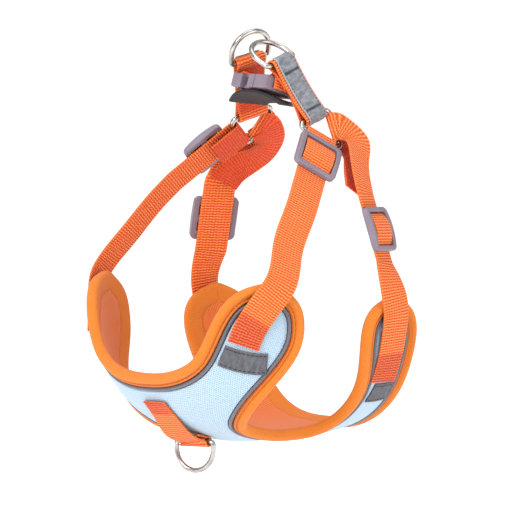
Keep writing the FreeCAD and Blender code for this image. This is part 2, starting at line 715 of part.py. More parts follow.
cover_offset = THICK / 2 + size("tab_cover_thickness") / 2 + 0.12
cover_radius = FOLD_RADIUS + cover_offset
cover_low = fold(tab_bar, tab_rise * -1, tab_out, cover_radius, tab_across)[:5]
cover_high = fold(LEASH_BAR, tab_rise, leash_out, cover_radius, LEASH_ACROSS)[:4]
cover_path = cover_low[::-1] + stations(tab_route(cover_offset), 20) + cover_high
both_pieces("tab_cover", ribbon(cover_path, size("tab_cover_width"), size("tab_cover_thickness")))

# The left ring has fallen inward over the back; the right one stands up.
LEASH_LEAN = {"left": LEASH_AWAY, "right": Vector(-0.45, -0.20, 0.87)}
for side in SIDES:
    bar_way = mirrored(LEASH_ACROSS, side)
    bow_way = mirrored(LEASH_LEAN[side], side)
    d_ring("leash_ring_" + side, "leash_ring_inside", "leash_ring_leg",
           placement(mirrored(LEASH_BAR, side), bar_way, bar_way.cross(bow_way)))

# ---------------------------------------------------------------- chest loop and ring

CHEST_BAR = Vector(0.0, -42.0, -87.4)
CHEST_TURN = math.radians(18.0)
chest_across = Vector(math.cos(CHEST_TURN), math.sin(CHEST_TURN), 0.0)
loop_down = unit(Vector(0.0, 0.42, -0.9))
loop_out = unit(chest_across.cross(loop_down))
if loop_out.y > 0:
    loop_out = loop_out * -1
side_on = Vector(1.0, 0.0, 0.0)
loop_outer = stations([(chest_point(0, 41.5, sewn_lift + 0.6), side_on),
                       (chest_point(0, 50.0, sewn_lift + 1.4), unit(lerp(side_on, chest_across, 0.35))),
                       (chest_point(0, 56.0, sewn_lift + 4.0), unit(lerp(side_on, chest_across, 0.8))),
                       (CHEST_BAR + loop_out * FOLD_RADIUS - loop_down * 1.0, chest_across)], 16)
loop_fold = fold(CHEST_BAR, loop_down, loop_out, FOLD_RADIUS, chest_across)
loop_inner = stations([(CHEST_BAR - loop_out * FOLD_RADIUS - loop_down * 1.0, chest_across),
                       (chest_point(0, 60.0, sewn_lift + 1.7), unit(lerp(side_on, chest_across, 0.9)))], 6)
loop_grids = ribbon(loop_outer + loop_fold + loop_inner, WEB, THICK)
soft_piece("chest_loop", solid_between(*loop_grids))
ring_down = Vector(0, 0, -1)
d_ring("chest_ring", "leash_ring_inside", "chest_ring_leg",
       placement(CHEST_BAR, chest_across, chest_across.cross(ring_down)))

# ---------------------------------------------------------------- buckle

BUCKLE_PLANE = placement(Vector(0.8, 9.5, 109.5), Vector(1, 0, 0), Vector(0, 0.31, 0.95))


def buckle_socket():
    """The female half: a shell that is open towards the plug, with side windows and a bar."""
    body = doc.addObject("PartDesign::Body", "buckle_socket")
    outline = sketch_on(body, "XY_Plane", "socket_outline")
    draw_rectangle(outline, ("-sizes.socket_length + 3", "3", "-sizes.buckle_width / 2",
                             "sizes.buckle_width / 2"))
    pad(body, outline, "socket_block", "sizes.buckle_height")
    hollow = sketch_on(body, "YZ_Plane", "socket_hollow")
    draw_rectangle(hollow, ("-sizes.buckle_width / 2 + sizes.socket_wall + 1",
                            "sizes.buckle_width / 2 - sizes.socket_wall - 1",
                            "sizes.socket_wall", "sizes.buckle_height - sizes.socket_wall"))
    pocket(body, hollow, "socket_cavity",
           "2 * (sizes.socket_length - 3 - sizes.buckle_bar - sizes.buckle_slot_length - 1.6)",
           both_ways=True)
    doc.recompute()
    windows = sketch_on(body, "XY_Plane", "socket_windows")
    for sign in ("-", ""):
        bounds = ["%s(sizes.buckle_width / 2 + 1)" % sign,
                  "%s(sizes.buckle_width / 2 - sizes.socket_wall - 2)" % sign]
        low, high = (bounds if sign else bounds[::-1])
        draw_rectangle(windows, ("-8", "-2", low, high))
    pocket(body, windows, "socket_side_windows", "sizes.buckle_height")
    slot = sketch_on(body, "XY_Plane", "socket_slot")
    draw_rectangle(slot, ("-sizes.socket_length + 3 + sizes.buckle_bar",
                          "-sizes.socket_length + 3 + sizes.buckle_bar + sizes.buckle_slot_length",
                          "-sizes.buckle_slot_width / 2", "sizes.buckle_slot_width / 2"))
    cut = pocket(body, slot, "socket_slot_cut", "sizes.buckle_height")
    doc.recompute()
    half_width = size("buckle_width") / 2
    outer = edges_where(cut.Shape, lambda c, e: is_along(e, 0) and abs(abs(c.y) - half_width) < 0.1
                        and (c.z < 0.1 or c.z > size("buckle_height") - 0.1))
    body.Tip = round_edges(body, cut, "socket_round", outer, "sizes.buckle_edge_round")
    body.Placement = BUCKLE_PLANE
    return keep(body, "buckle_socket")


def buckle_plug():
    """The male half: a plate with a slot and a bar, and a guide tongue down the middle."""
    body = doc.addObject("PartDesign::Body", "buckle_plug")
    plate = sketch_on(body, "XY_Plane", "plug_outline")
    draw_rectangle(plate, ("3 + sizes.buckle_gap", "3 + sizes.buckle_gap + sizes.plug_base_length",
                           "-sizes.buckle_width / 2", "sizes.buckle_width / 2"))
    pad(body, plate, "plug_block", "sizes.buckle_height")
    slot = sketch_on(body, "XY_Plane", "plug_slot")
    far = "3 + sizes.buckle_gap + sizes.plug_base_length - sizes.buckle_bar"
    draw_rectangle(slot, (far + " - sizes.buckle_slot_length", far,
                          "-sizes.buckle_slot_width / 2", "sizes.buckle_slot_width / 2"))
    cut = pocket(body, slot, "plug_slot_cut", "sizes.buckle_height")
    doc.recompute()
    half_width, height = size("buckle_width") / 2, size("buckle_height")
    outer = edges_where(cut.Shape, lambda c, e: is_along(e, 0) and abs(abs(c.y) - half_width) < 0.1
                        and (c.z < 0.1 or c.z > height - 0.1))
    round_edges(body, cut, "plug_round", outer, "sizes.buckle_edge_round")
    doc.recompute()
    guide = sketch_on(body, "XY_Plane", "plug_guide_outline")
    guide.AttachmentOffset = FreeCAD.Placement(Vector(0, 0, (height - size("arm_height")) / 2),
                                               FreeCAD.Rotation())
    draw_rectangle(guide, ("3 - sizes.guide_length", "3.5 + sizes.buckle_gap",
                           "-sizes.guide_width / 2", "sizes.guide_width / 2"))
    body.Tip = pad(body, guide, "plug_guide", "sizes.arm_height")
    body.Placement = BUCKLE_PLANE
    return keep(body, "buckle_plug")


def latch_arm(name, sign):
    """A springy side arm of the plug with a rounded pad that shows in the socket's window."""
    body = doc.addObject("PartDesign::Body", name)
    outline = sketch_on(body, "XY_Plane", name + "_outline")
    far_side = "(sizes.buckle_width / 2 - sizes.socket_wall - 1.5)"
    near_side = "(sizes.buckle_width / 2 - sizes.socket_wall - 1.5 - sizes.arm_width)"
    bounds = (near_side, far_side) if sign > 0 else ("-" + far_side, "-" + near_side)
    draw_rectangle(outline, ("3 - sizes.arm_length + 4", "3 + sizes.buckle_gap / 2") + bounds)
    block = pad(body, outline, name + "_block", "sizes.arm_height")
    doc.recompute()
    tips = edges_where(block.Shape, lambda c, e: is_along(e, 2) and c.x < 0)
    rounded = round_edges(body, block, name + "_tip", tips, "sizes.arm_width / 3")
    body.Tip = rounded
    rise = (size("buckle_height") - size("arm_height")) / 2
    body.Placement = BUCKLE_PLANE.multiply(FreeCAD.Placement(Vector(0, 0, rise), FreeCAD.Rotation()))
    return keep(body, name)


buckle_socket()
buckle_plug()
latch_arm("buckle_latch_rear", 1)
latch_arm("buckle_latch_front", -1)

# Leaves of webbing over the bars at the buckle's two ends, and down behind the tabs.
bar_reach = 3 + size("buckle_gap") + size("plug_base_length") - size("buckle_bar") / 2
buckle_mid = size("buckle_height") / 2
leaf_across = BUCKLE_PLANE.Rotation.multVec(Vector(0, 1, 0))
bar_top = size("buckle_height") + size("webbing_clearance") + THICK / 2 + 0.3
slot_middle = bar_reach - (size("buckle_bar") + size("buckle_slot_length")) / 2


def on_buckle(along, lift):
    return BUCKLE_PLANE.multVec(Vector(along, 0, lift))


leaf_path = stations([(on_buckle(slot_middle, buckle_mid), leaf_across),
                      (on_buckle(slot_middle + 0.1, bar_top - 0.9), leaf_across),
                      (on_buckle(slot_middle + 1.6, bar_top + 0.2), leaf_across),
                      (on_buckle(bar_reach + 1.4, bar_top - 0.1), leaf_across),
                      (on_buckle(bar_reach + 2.5, bar_top - 2.6), leaf_across),
                      (on_buckle(bar_reach + 3.2, bar_top - 8.0), leaf_across)], 24)
both_pieces("buckle_leaf", ribbon(leaf_path, size("leaf_width"), THICK))

pad_half, pad_drop = 17.0, 4.0
pad_middle = BUCKLE_PLANE.multVec(Vector(-0.8, 0, -size("back_pad_thickness") / 2 - 1.0))
pad_normal = BUCKLE_PLANE.Rotation.multVec(Vector(0, 0, 1))
pad_path = stations([(pad_middle + Vector(part * pad_half, abs(part) ** 3 * 3.0,
                                          -pad_drop * abs(part) ** 2.6), leaf_across)
                     for part in (-1.0, -0.75, -0.5, -0.25, 0.0, 0.25, 0.5, 0.75, 1.0)], 25)
soft_piece("back_pad", solid_between(*ribbon(pad_path, size("back_pad_width"),
                                             size("back_pad_thickness"))))

# ---------------------------------------------------------------- checking and writing

doc.recompute()
for obj in doc.Objects:
    problems = [state for state in obj.State if state in ("Invalid", "Error")]
    if problems:
        raise RuntimeError("%s is %s" % (obj.Name, problems))
os.makedirs("parts", exist_ok=True)
for piece in subparts:
    shape = piece.Shape
    if shape.isNull() or not shape.isValid() or len(shape.Solids) != 1:
        raise RuntimeError("%s is not one valid solid" % piece.Label)
    shape.exportStep("parts/%s.step" % piece.Label)
print("%d pieces written" % len(subparts))
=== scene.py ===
import bpy
import math
import numpy as np
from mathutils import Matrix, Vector


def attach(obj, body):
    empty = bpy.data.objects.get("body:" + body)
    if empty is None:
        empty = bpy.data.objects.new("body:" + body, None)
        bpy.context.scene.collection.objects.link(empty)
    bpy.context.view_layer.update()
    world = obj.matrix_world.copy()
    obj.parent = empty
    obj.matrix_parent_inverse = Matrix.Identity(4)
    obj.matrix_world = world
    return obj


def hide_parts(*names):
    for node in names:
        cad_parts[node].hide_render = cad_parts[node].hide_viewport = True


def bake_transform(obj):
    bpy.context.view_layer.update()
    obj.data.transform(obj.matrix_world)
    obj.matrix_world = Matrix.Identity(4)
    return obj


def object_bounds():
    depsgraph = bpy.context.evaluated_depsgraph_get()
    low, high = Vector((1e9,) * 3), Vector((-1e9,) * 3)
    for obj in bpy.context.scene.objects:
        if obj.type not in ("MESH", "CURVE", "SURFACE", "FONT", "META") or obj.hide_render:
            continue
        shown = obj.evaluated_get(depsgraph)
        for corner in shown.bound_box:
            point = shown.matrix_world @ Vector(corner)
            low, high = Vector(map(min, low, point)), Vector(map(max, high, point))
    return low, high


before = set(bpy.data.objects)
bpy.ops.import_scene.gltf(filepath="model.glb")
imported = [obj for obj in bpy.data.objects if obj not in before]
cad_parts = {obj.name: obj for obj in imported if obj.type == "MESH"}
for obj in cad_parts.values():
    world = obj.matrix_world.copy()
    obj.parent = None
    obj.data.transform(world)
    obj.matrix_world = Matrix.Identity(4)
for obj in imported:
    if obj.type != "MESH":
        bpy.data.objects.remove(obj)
cad_box = [list(corner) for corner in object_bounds()]

# Routes and outlines below repeat the CAD part's own numbers, in millimetres. Meshes are in metres.
MM = 0.001


def vec(*values):
    return np.array(values, float)


def unit(vector):
    return np.asarray(vector, float) / np.linalg.norm(vector)


def lerp(start, end, part):
    return start + (end - start) * part


# ---------------------------------------------------------------- curves and the chest surface

def cubic(at, points, values):
    """A natural cubic through points placed at the parameters at, read at values."""
    at, points, values = np.asarray(at), np.asarray(points, float), np.asarray(values)
    gaps, count = np.diff(at), len(at)
    matrix, right = np.zeros((count, count)), np.zeros(points.shape)
    matrix[0, 0] = matrix[-1, -1] = 1.0
    for i in range(1, count - 1):
        matrix[i, i - 1:i + 2] = gaps[i - 1], 2 * (gaps[i - 1] + gaps[i]), gaps[i]
        right[i] = 6 * ((points[i + 1] - points[i]) / gaps[i]
                        - (points[i] - points[i - 1]) / gaps[i - 1])
    bend = np.linalg.solve(matrix, right)
    index = np.clip(np.searchsorted(at, values, side="right") - 1, 0, count - 2)
    gap = gaps[index][:, None]
    a = ((at[index + 1] - values)[:, None]) / gap
    b = 1.0 - a
    return (a * points[index] + b * points[index + 1]
            + ((a ** 3 - a) * bend[index] + (b ** 3 - b) * bend[index + 1]) * gap ** 2 / 6)


def chord(points):
    steps = np.linalg.norm(np.diff(np.asarray(points, float), axis=0), axis=1)
    return np.concatenate([[0.0], np.cumsum(steps)])


def even(points, count):
    """Evenly spaced points on the smooth curve through a few of them."""
    at = chord(points)
    fine = cubic(at, points, np.linspace(0, at[-1], 900))
    along = chord(fine)
    wanted = np.linspace(0, along[-1], count)
    return np.stack([np.interp(wanted, along, fine[:, k]) for k in range(fine.shape[1])], axis=1)


# The chest is a superellipsoid: its radii, and the power that gives its roundness.
HALF_WIDTH, FRONT, REAR, DEPTH, ROUND = 78.0, 85.0, 105.0, 85.0, 2.5


def chest_radii(y):
    return vec(HALF_WIDTH, FRONT if y < 0 else REAR, DEPTH)


def chest_normal(point):
    radii = chest_radii(point[1])
    return unit(np.sign(point) * np.abs(point / radii) ** (ROUND - 1.0) / radii)


def lifted(direction, lift):
    total = np.sum(np.abs(direction / chest_radii(direction[1])) ** ROUND)
    point = direction * total ** (-1.0 / ROUND)
    return point + chest_normal(point) * lift


def chest_point(side_angle, belly_angle, lift):
    side, belly = math.radians(side_angle), math.radians(belly_angle)
    return lifted(vec(math.sin(side), -math.cos(side) * math.cos(belly),
                      -math.cos(side) * math.sin(belly)), lift)


NECK_EDGE = [(56.0, 5.0), (49.0, 7.0), (42.6, 14.0), (37.0, 23.2), (29.6, 31.6), (17.0, 36.4),
             (0, 37.6)]
REAR_EDGE = [(61.5, 159.0), (55.4, 158.0), (51.0, 151.0), (43.6, 137.2), (32.2, 127.7),
             (19.0, 122.5), (0, 121.0)]
LEG_EDGE = [(56.0, 5.0), (60.2, 13.0), (60.6, 25.0), (55.4, 37.6), (45.1, 43.7), (34.9, 48.0),
            (26.0, 53.6), (19.8, 60.5), (18.0, 70.0), (17.8, 88.0), (22.0, 102.0), (35.0, 112.5),
            (48.1, 120.5), (58.0, 127.5), (64.0, 137.0), (65.0, 149.0), (61.5, 159.0)]


def both_sides(half):
    return half + [(-a, b) for a, b in reversed(half[:-1])]


def first_grid(columns, rows):
    """The Coons patch between the vest's four outlines, as (side angle, belly angle) places."""
    neck, rear = [even(both_sides(edge), columns)[:, None] for edge in (NECK_EDGE, REAR_EDGE)]
    leg = even(LEG_EDGE, rows)[None]
    p, q = np.linspace(0, 1, columns)[:, None, None], np.linspace(0, 1, rows)[None, :, None]
    across = (1 - p) * leg + p * leg * vec(-1, 1)
    along = (1 - q) * neck + q * rear
    tips = ((1 - p) * (1 - q) * neck[0] + p * (1 - q) * neck[-1]
            + (1 - p) * q * rear[0] + p * q * rear[-1])
    return across + along - tips


EVEN_STEPS, SPREAD_STEPS, SPREAD_RATE = 400, 600, 0.7


def spread(grid):
    """Move the grid's inner points so that its lines do not cross in the wings."""
    for step in range(EVEN_STEPS + SPREAD_STEPS):
        east, west, up, down = grid[2:, 1:-1], grid[:-2, 1:-1], grid[1:-1, 2:], grid[1:-1, :-2]
        if step < EVEN_STEPS:
            better = (east + west + up + down) / 4
        else:
            across, along = (east - west) / 2, (up - down) / 2
            twist = (grid[2:, 2:] - grid[2:, :-2] - grid[:-2, 2:] + grid[:-2, :-2]) / 4
            shear, wide, tall = [np.sum(a * b, axis=2, keepdims=True) for a, b in
                                 ((across, along), (across, across), (along, along))]
            better = ((tall * (east + west) + wide * (up + down) - 2 * shear * twist)
                      / (2 * (wide + tall)))
        grid[1:-1, 1:-1] += (better - grid[1:-1, 1:-1]) * SPREAD_RATE
    return grid


def finer(grid, times):
    """A grid with each step divided smoothly, in both directions."""
    for turn in range(2):
        count = len(grid)
        fine = cubic(np.arange(count), grid.reshape(count, -1),
                     np.linspace(0, count - 1, (count - 1) * times + 1))
        grid = fine.reshape(len(fine), -1, 2).transpose(1, 0, 2)
    return grid


# ---------------------------------------------------------------- materials

def new_material(name):
    """A material with its node tree, and helpers that add nodes to it."""
    material = bpy.data.materials.new(name)
    material.use_nodes = True
    return Shader(material)


class Shader:
    def __init__(self, material):
        self.material = material
        self.tree = material.node_tree
        self.out = self.tree.nodes["Principled BSDF"]
        uv = self.tree.nodes.new("ShaderNodeUVMap")
        uv.uv_map = "uv"
        parts = self.tree.nodes.new("ShaderNodeSeparateXYZ")
        self.tree.links.new(uv.outputs[0], parts.inputs[0])
        self.uv, self.u, self.v = uv.outputs[0], parts.outputs[0], parts.outputs[1]
        self.place = self.tree.nodes.new("ShaderNodeTexCoord").outputs["Object"]

    def set(self, socket, value):
        """Link a socket, or set it when the value is a plain number or colour."""
        if hasattr(value, "is_linked"):
            self.tree.links.new(value, socket)
        else:
            socket.default_value = value

    def math(self, kind, a, b=0.0, c=0.0):
        node = self.tree.nodes.new("ShaderNodeMath")
        node.operation = kind
        for socket, value in zip(node.inputs, (a, b, c)):
            self.set(socket, value)
        return node.outputs[0]

    def times(self, a, b):
        return self.math("MULTIPLY", a, b)

    def plus(self, a, b):
        return self.math("ADD", a, b)

    def mix(self, factor, low, high):
        node = self.tree.nodes.new("ShaderNodeMix")
        node.data_type = "RGBA"
        self.set(node.inputs[0], factor)
        self.set(node.inputs[6], low if hasattr(low, "is_linked") else (*low, 1.0))
        self.set(node.inputs[7], high if hasattr(high, "is_linked") else (*high, 1.0))
        return node.outputs[2]

    def scaled(self, vector, scale):
        node = self.tree.nodes.new("ShaderNodeVectorMath")
        node.operation = "MULTIPLY"
        self.set(node.inputs[0], vector)
        node.inputs[1].default_value = scale
        return node.outputs[0]

    def noise(self, vector, scale, detail=3.0, rough=0.5):
        node = self.tree.nodes.new("ShaderNodeTexNoise")
        self.set(node.inputs["Vector"], vector)
        node.inputs["Scale"].default_value = scale
        node.inputs["Detail"].default_value = detail
        node.inputs["Roughness"].default_value = rough
        return node.outputs[0]

    def cells(self, vector, scale):
        node = self.tree.nodes.new("ShaderNodeTexVoronoi")
        self.set(node.inputs["Vector"], vector)
        node.inputs["Scale"].default_value = scale
        return node.outputs["Distance"]

    def attribute(self, name):
        node = self.tree.nodes.new("ShaderNodeAttribute")
        node.attribute_name = name
        return node.outputs["Fac"]

    def ramp(self, value, low, high, start=0.0, end=1.0):
        node = self.tree.nodes.new("ShaderNodeMapRange")
        node.interpolation_type = "SMOOTHSTEP"
        for socket, setting in zip(node.inputs, (value, low, high, start, end)):
            self.set(socket, setting)
        return node.outputs[0]

    def finish(self, colour, roughness, height, depth, strength=1.0, **fixed):
        """Wire the colour, roughness and bump (depth in metres), and set what is constant."""
        self.set(self.out.inputs["Base Color"], colour)
        self.set(self.out.inputs["Roughness"], roughness)
        bump = self.tree.nodes.new("ShaderNodeBump")
        bump.inputs["Strength"].default_value = strength
        bump.inputs["Distance"].default_value = depth
        self.tree.links.new(height, bump.inputs["Height"])
        self.tree.links.new(bump.outputs[0], self.out.inputs["Normal"])
        for name, value in fixed.items():
            self.out.inputs[name.replace("_", " ")].default_value = value
        return self.material


def rgb(red, green, blue):
    """A linear colour from display values of 0 to 255."""
    return tuple(((c / 255 + 0.055) / 1.055) ** 2.4 for c in (red, green, blue))


def stripes(s, value, pitch, phase=0.0):
    """A smooth wave from 0 to 1 that repeats every pitch metres."""
    turn = s.math("MULTIPLY_ADD", value, 2 * math.pi / pitch, phase)
    return s.math("MULTIPLY_ADD", s.math("SINE", turn), 0.5, 0.5)


def webbing_material():
    """Ribbed webbing: cross ribs that step by half a rib between lengthwise columns of yarn, with painted
    shade in the grooves and a painted highlight on the rib tops.
    """
    s = new_material("ribbed_webbing")
    rib_pitch, column_width = 0.0016, 0.0019
    column = s.math("DIVIDE", s.u, column_width)
    step = s.times(s.math("MODULO", s.math("ABSOLUTE", s.math("FLOOR", column)), 2.0),
                  rib_pitch * 0.12)
    wobble = s.times(s.noise(s.scaled(s.uv, (500, 350, 1)), 1.0), 0.0003)
    rib = stripes(s, s.plus(s.plus(s.v, step), wobble), rib_pitch)
    yarn = s.math("SINE", s.times(s.math("FRACT", column), math.pi))
    fibre = s.noise(s.scaled(s.uv, (2200, 5200, 1)), 1.0, 4.0, 0.65)
    height = s.plus(s.times(rib, 0.75),
                    s.plus(s.times(yarn, 0.22), s.times(fibre, 0.25)))
    # The colour follows the rib height: grooves are painted darker as painted shade, and rib tops are
    # painted near-white as a painted highlight, in the plain and the sewn webbing alike.
    low, high = s.ramp(height, 0.15, 0.62), s.ramp(height, 0.68, 1.05)
    plain = s.mix(high, s.mix(low, rgb(188, 50, 2), rgb(244, 98, 12)), rgb(255, 160, 84))
    fade = s.noise(s.scaled(s.uv, (90, 60, 1)), 1.0, 2.0)
    plain = s.mix(s.times(s.ramp(fade, 0.35, 0.75), 0.3), plain, rgb(246, 100, 14))
    sewn = s.mix(high, s.mix(low, rgb(158, 38, 8), rgb(206, 66, 18)), rgb(238, 118, 62))
    # Painted shade: lengths that lie underneath another layer of webbing are given this darker colour.
    inner = s.mix(low, rgb(186, 44, 8), rgb(230, 80, 20))
    colour = s.mix(s.attribute("sewn"), plain, sewn)
    colour = s.mix(s.attribute("inner"), colour, inner)
    edge = s.ramp(s.math("ABSOLUTE", s.u), 0.0085, 0.0095)
    colour = s.mix(s.times(edge, 0.3), colour, rgb(255, 140, 52))
    rough = s.ramp(fibre, 0.2, 0.8, 0.62, 0.86)
    return s.finish(colour, rough, height, 0.0006, 1.0, Sheen_Weight=0.06, Sheen_Roughness=0.5)


def knit_material():
    """Padded edge rolls: a fine knit, with a brighter lip along the seam."""
    s = new_material("knit_roll")
    loops = s.times(stripes(s, s.u, 0.0007), stripes(s, s.plus(s.u, s.v), 0.00085))
    other = s.times(stripes(s, s.v, 0.00085, 1.6),
                   stripes(s, s.math("SUBTRACT", s.u, s.v), 0.0007, 1.6))
    fibre = s.noise(s.scaled(s.uv, (3000, 3000, 1)), 1.0, 4.0, 0.6)
    height = s.plus(s.times(s.plus(loops, other), 0.5),
                    s.times(fibre, 0.25))
    body = s.mix(s.ramp(height, 0.05, 0.8), rgb(196, 94, 8), rgb(236, 142, 32))
    lip = s.mix(s.ramp(height, 0.05, 0.8), rgb(222, 92, 10), rgb(250, 136, 40))
    colour = s.mix(s.ramp(s.u, 0.0017, 0.0024), lip, body)
    # Painted shade: the knit is darkened along the groove between the lip and the roll.
    groove_shade = s.ramp(s.math("ABSOLUTE", s.math("SUBTRACT", s.u, 0.0022)), 0.0001, 0.0007, 1.0, 0.0)
    colour = s.mix(s.times(groove_shade, 0.6), colour, rgb(168, 66, 12))
    blotch = s.noise(s.scaled(s.uv, (55, 40, 1)), 1.0, 3.0)
    colour = s.mix(s.times(s.ramp(blotch, 0.4, 0.7), 0.22), colour, rgb(224, 118, 20))
    rough = s.ramp(fibre, 0.2, 0.8, 0.7, 0.95)
    return s.finish(colour, rough, height, 0.00022, 0.8, Sheen_Weight=0.12, Sheen_Roughness=0.5)


def lining_material():
    s = new_material("lining_knit")
    knit = s.times(stripes(s, s.u, 0.0013), stripes(s, s.v, 0.0011))
    fibre = s.noise(s.scaled(s.uv, (1800, 1800, 1)), 1.0, 4.0, 0.6)
    height = s.plus(knit, s.times(fibre, 0.4))
    colour = s.mix(s.ramp(height, 0.1, 1.2), rgb(206, 92, 20), rgb(246, 142, 52))
    return s.finish(colour, s.ramp(fibre, 0.2, 0.8, 0.75, 0.95), height, 0.0003, 0.7,
                    Sheen_Weight=0.3)


def mesh_material():
    """The outer panel: pale blue mesh with small holes in a staggered pattern."""
    s = new_material("air_mesh")
    row = s.math("DIVIDE", s.v, 0.00115)
    shift = s.times(s.math("MODULO", s.math("ABSOLUTE", s.math("FLOOR", row)), 2.0), 0.5)
    across = s.plus(s.math("DIVIDE", s.u, 0.0013), shift)
    a = s.math("SINE", s.times(s.math("FRACT", across), math.pi))
    b = s.math("SINE", s.times(s.math("FRACT", row), math.pi))
    hole = s.ramp(s.times(a, b), 0.45, 0.8)
    fibre = s.noise(s.scaled(s.uv, (2600, 2600, 1)), 1.0, 4.0, 0.65)
    heather = s.noise(s.scaled(s.uv, (420, 900, 1)), 1.0, 3.0, 0.6)
    thread = s.mix(s.ramp(fibre, 0.3, 0.7), rgb(156, 184, 204), rgb(194, 214, 228))
    thread = s.mix(s.times(s.ramp(heather, 0.45, 0.7), 0.35), thread, rgb(132, 164, 190))
    # The holes get a darker blue: painted shade inside them.
    colour = s.mix(s.times(hole, 0.6), thread, rgb(104, 134, 160))
    height = s.math("SUBTRACT", s.times(fibre, 0.3), hole)
    return s.finish(colour, s.ramp(fibre, 0.2, 0.8, 0.7, 0.92), height, 0.00025, 0.7,
                    Sheen_Weight=0.3)


def piping_material():
    s = new_material("satin_piping")
    twill = stripes(s, s.math("MULTIPLY_ADD", s.u, 1.4, s.v), 0.00075)
    fibre = s.noise(s.scaled(s.uv, (3000, 900, 1)), 1.0, 3.0)
    pucker = s.noise(s.scaled(s.uv, (60, 260, 1)), 1.0, 2.0)
    height = s.plus(s.times(twill, 0.3),
                    s.plus(s.times(fibre, 0.2), s.times(pucker, 1.6)))
    colour = s.mix(s.ramp(s.plus(twill, fibre), 0.4, 1.5), rgb(66, 66, 74), rgb(112, 112, 122))
    return s.finish(colour, s.ramp(fibre, 0.2, 0.8, 0.38, 0.58), height, 0.0002, 0.7,
                    Sheen_Weight=0.2)


def leather_material(name, dark, light, wear, grain, wrinkle):
    s = new_material(name)
    pebble = s.cells(s.scaled(s.uv, (1, 1, 1)), grain)
    fine = s.noise(s.scaled(s.uv, (2400, 2400, 1)), 1.0, 4.0, 0.6)
    crease = s.noise(s.scaled(s.uv, (160, 420, 1)), 1.0, 3.0, 0.6)
    height = s.plus(s.times(pebble, 0.5 * grain * 0.001),
                    s.plus(s.times(fine, 0.3), s.times(crease, wrinkle)))
    colour = s.mix(s.ramp(crease, 0.3, 0.7), dark, light)
    colour = s.mix(s.times(s.ramp(fine, 0.5, 0.8), 0.5), colour, wear)
    edge = s.ramp(s.math("ABSOLUTE", s.u), 0.0058, 0.0068)
    colour = s.mix(s.times(edge, 0.5), colour, wear)
    return s.finish(colour, s.ramp(fine, 0.2, 0.8, 0.55, 0.8), height, 0.0005, 0.7)


def plastic_material():
    s = new_material("moulded_plastic")
    fine = s.noise(s.place, 2600.0, 3.0, 0.6)
    broad = s.noise(s.place, 70.0, 2.0)
    colour = s.mix(s.ramp(fine, 0.3, 0.7), rgb(116, 104, 117), rgb(132, 119, 132))
    colour = s.mix(s.times(s.ramp(broad, 0.4, 0.7), 0.3), colour, rgb(142, 130, 141))
    return s.finish(colour, s.ramp(broad, 0.3, 0.7, 0.34, 0.48), fine, 0.00006, 0.5,
                    Specular_IOR_Level=0.5)


def wire_material():
    s = new_material("polished_nickel")
    scratch = s.noise(s.scaled(s.place, (900, 900, 9000)), 1.0, 3.0, 0.7)
    broad = s.noise(s.place, 160.0, 2.0)
    colour = s.mix(s.ramp(broad, 0.3, 0.7), rgb(158, 154, 148), rgb(196, 193, 188))
    return s.finish(colour, s.ramp(scratch, 0.3, 0.8, 0.14, 0.3), scratch, 0.00001, 0.15, Metallic=1.0)


def woven_pad_material():
    s = new_material("woven_pad")
    weave = s.math("MAXIMUM", s.times(stripes(s, s.u, 0.0016), stripes(s, s.v, 0.0008)),
                   s.times(stripes(s, s.v, 0.0016), stripes(s, s.u, 0.0008)))
    fibre = s.noise(s.scaled(s.uv, (2600, 2600, 1)), 1.0, 3.0)
    height = s.plus(weave, s.times(fibre, 0.3))
    colour = s.mix(s.ramp(height, 0.2, 1.1), rgb(26, 26, 30), rgb(62, 62, 68))
    return s.finish(colour, s.ramp(fibre, 0.2, 0.8, 0.6, 0.85), height, 0.0003, 0.8)


def thread_material(name, low, high):
    s = new_material(name)
    twist = stripes(s, s.plus(s.u, s.v), 0.0004)
    return s.finish(s.mix(twist, low, high), s.ramp(twist, 0.0, 1.0, 0.5, 0.7), twist, 0.0001, 0.6)


WEBBING = webbing_material()
KNIT = knit_material()
LINING = lining_material()
MESH = mesh_material()
PIPING = piping_material()
PATCH = leather_material("soft_leather", rgb(70, 70, 76), rgb(96, 96, 103), rgb(118, 118, 124), 1300.0, 0.5)
SUEDE = leather_material("brushed_suede", rgb(104, 106, 113), rgb(142, 145, 152), rgb(166, 168, 174),
                         900.0, 1.8)
PLASTIC = plastic_material()
WIRE = wire_material()
PAD = woven_pad_material()
DARK_THREAD = thread_material("dark_thread", rgb(10, 10, 12), rgb(32, 32, 36))
RED_THREAD = thread_material("red_thread", rgb(176, 54, 14), rgb(248, 122, 58))
GRAY_THREAD = thread_material("gray_thread", rgb(38, 38, 44), rgb(88, 90, 96))


# ---------------------------------------------------------------- meshes

def new_object(name, points, faces, uvs, material, attributes=None):
    """A smooth mesh object from millimetre points, with a uv pair in metres for each point."""
    mesh = bpy.data.meshes.new(name)
    mesh.from_pydata([tuple(p * MM) for p in points], [], faces)
    layer = mesh.uv_layers.new(name="uv")
    corners = np.empty(len(mesh.loops), int)
    mesh.loops.foreach_get("vertex_index", corners)
    layer.data.foreach_set("uv", (np.asarray(uvs)[corners] * MM).astype(np.float32).ravel())
    for key, values in (attributes or {}).items():
        mesh.attributes.new(key, "FLOAT", "POINT").data.foreach_set(
            "value", np.asarray(values, np.float32))
    mesh.polygons.foreach_set("use_smooth", [True] * len(mesh.polygons))
    mesh.materials.append(material)
    mesh.validate()
    mesh.update()
    obj = bpy.data.objects.new(name, mesh)
    bpy.context.scene.collection.objects.link(obj)
    return obj


def tube_faces(rings, around, first=0):
    """Quads between closed rings of points, and a cap at each end."""
    faces = []
    for i in range(rings - 1):
        for k in range(around):
            n = (k + 1) % around
            a, b = first + i * around, first + (i + 1) * around
            faces.append((a + k, a + n, b + n, b + k))
    faces.append(tuple(first + k for k in reversed(range(around))))
    faces.append(tuple(first + (rings - 1) * around + k for k in range(around)))
    return faces


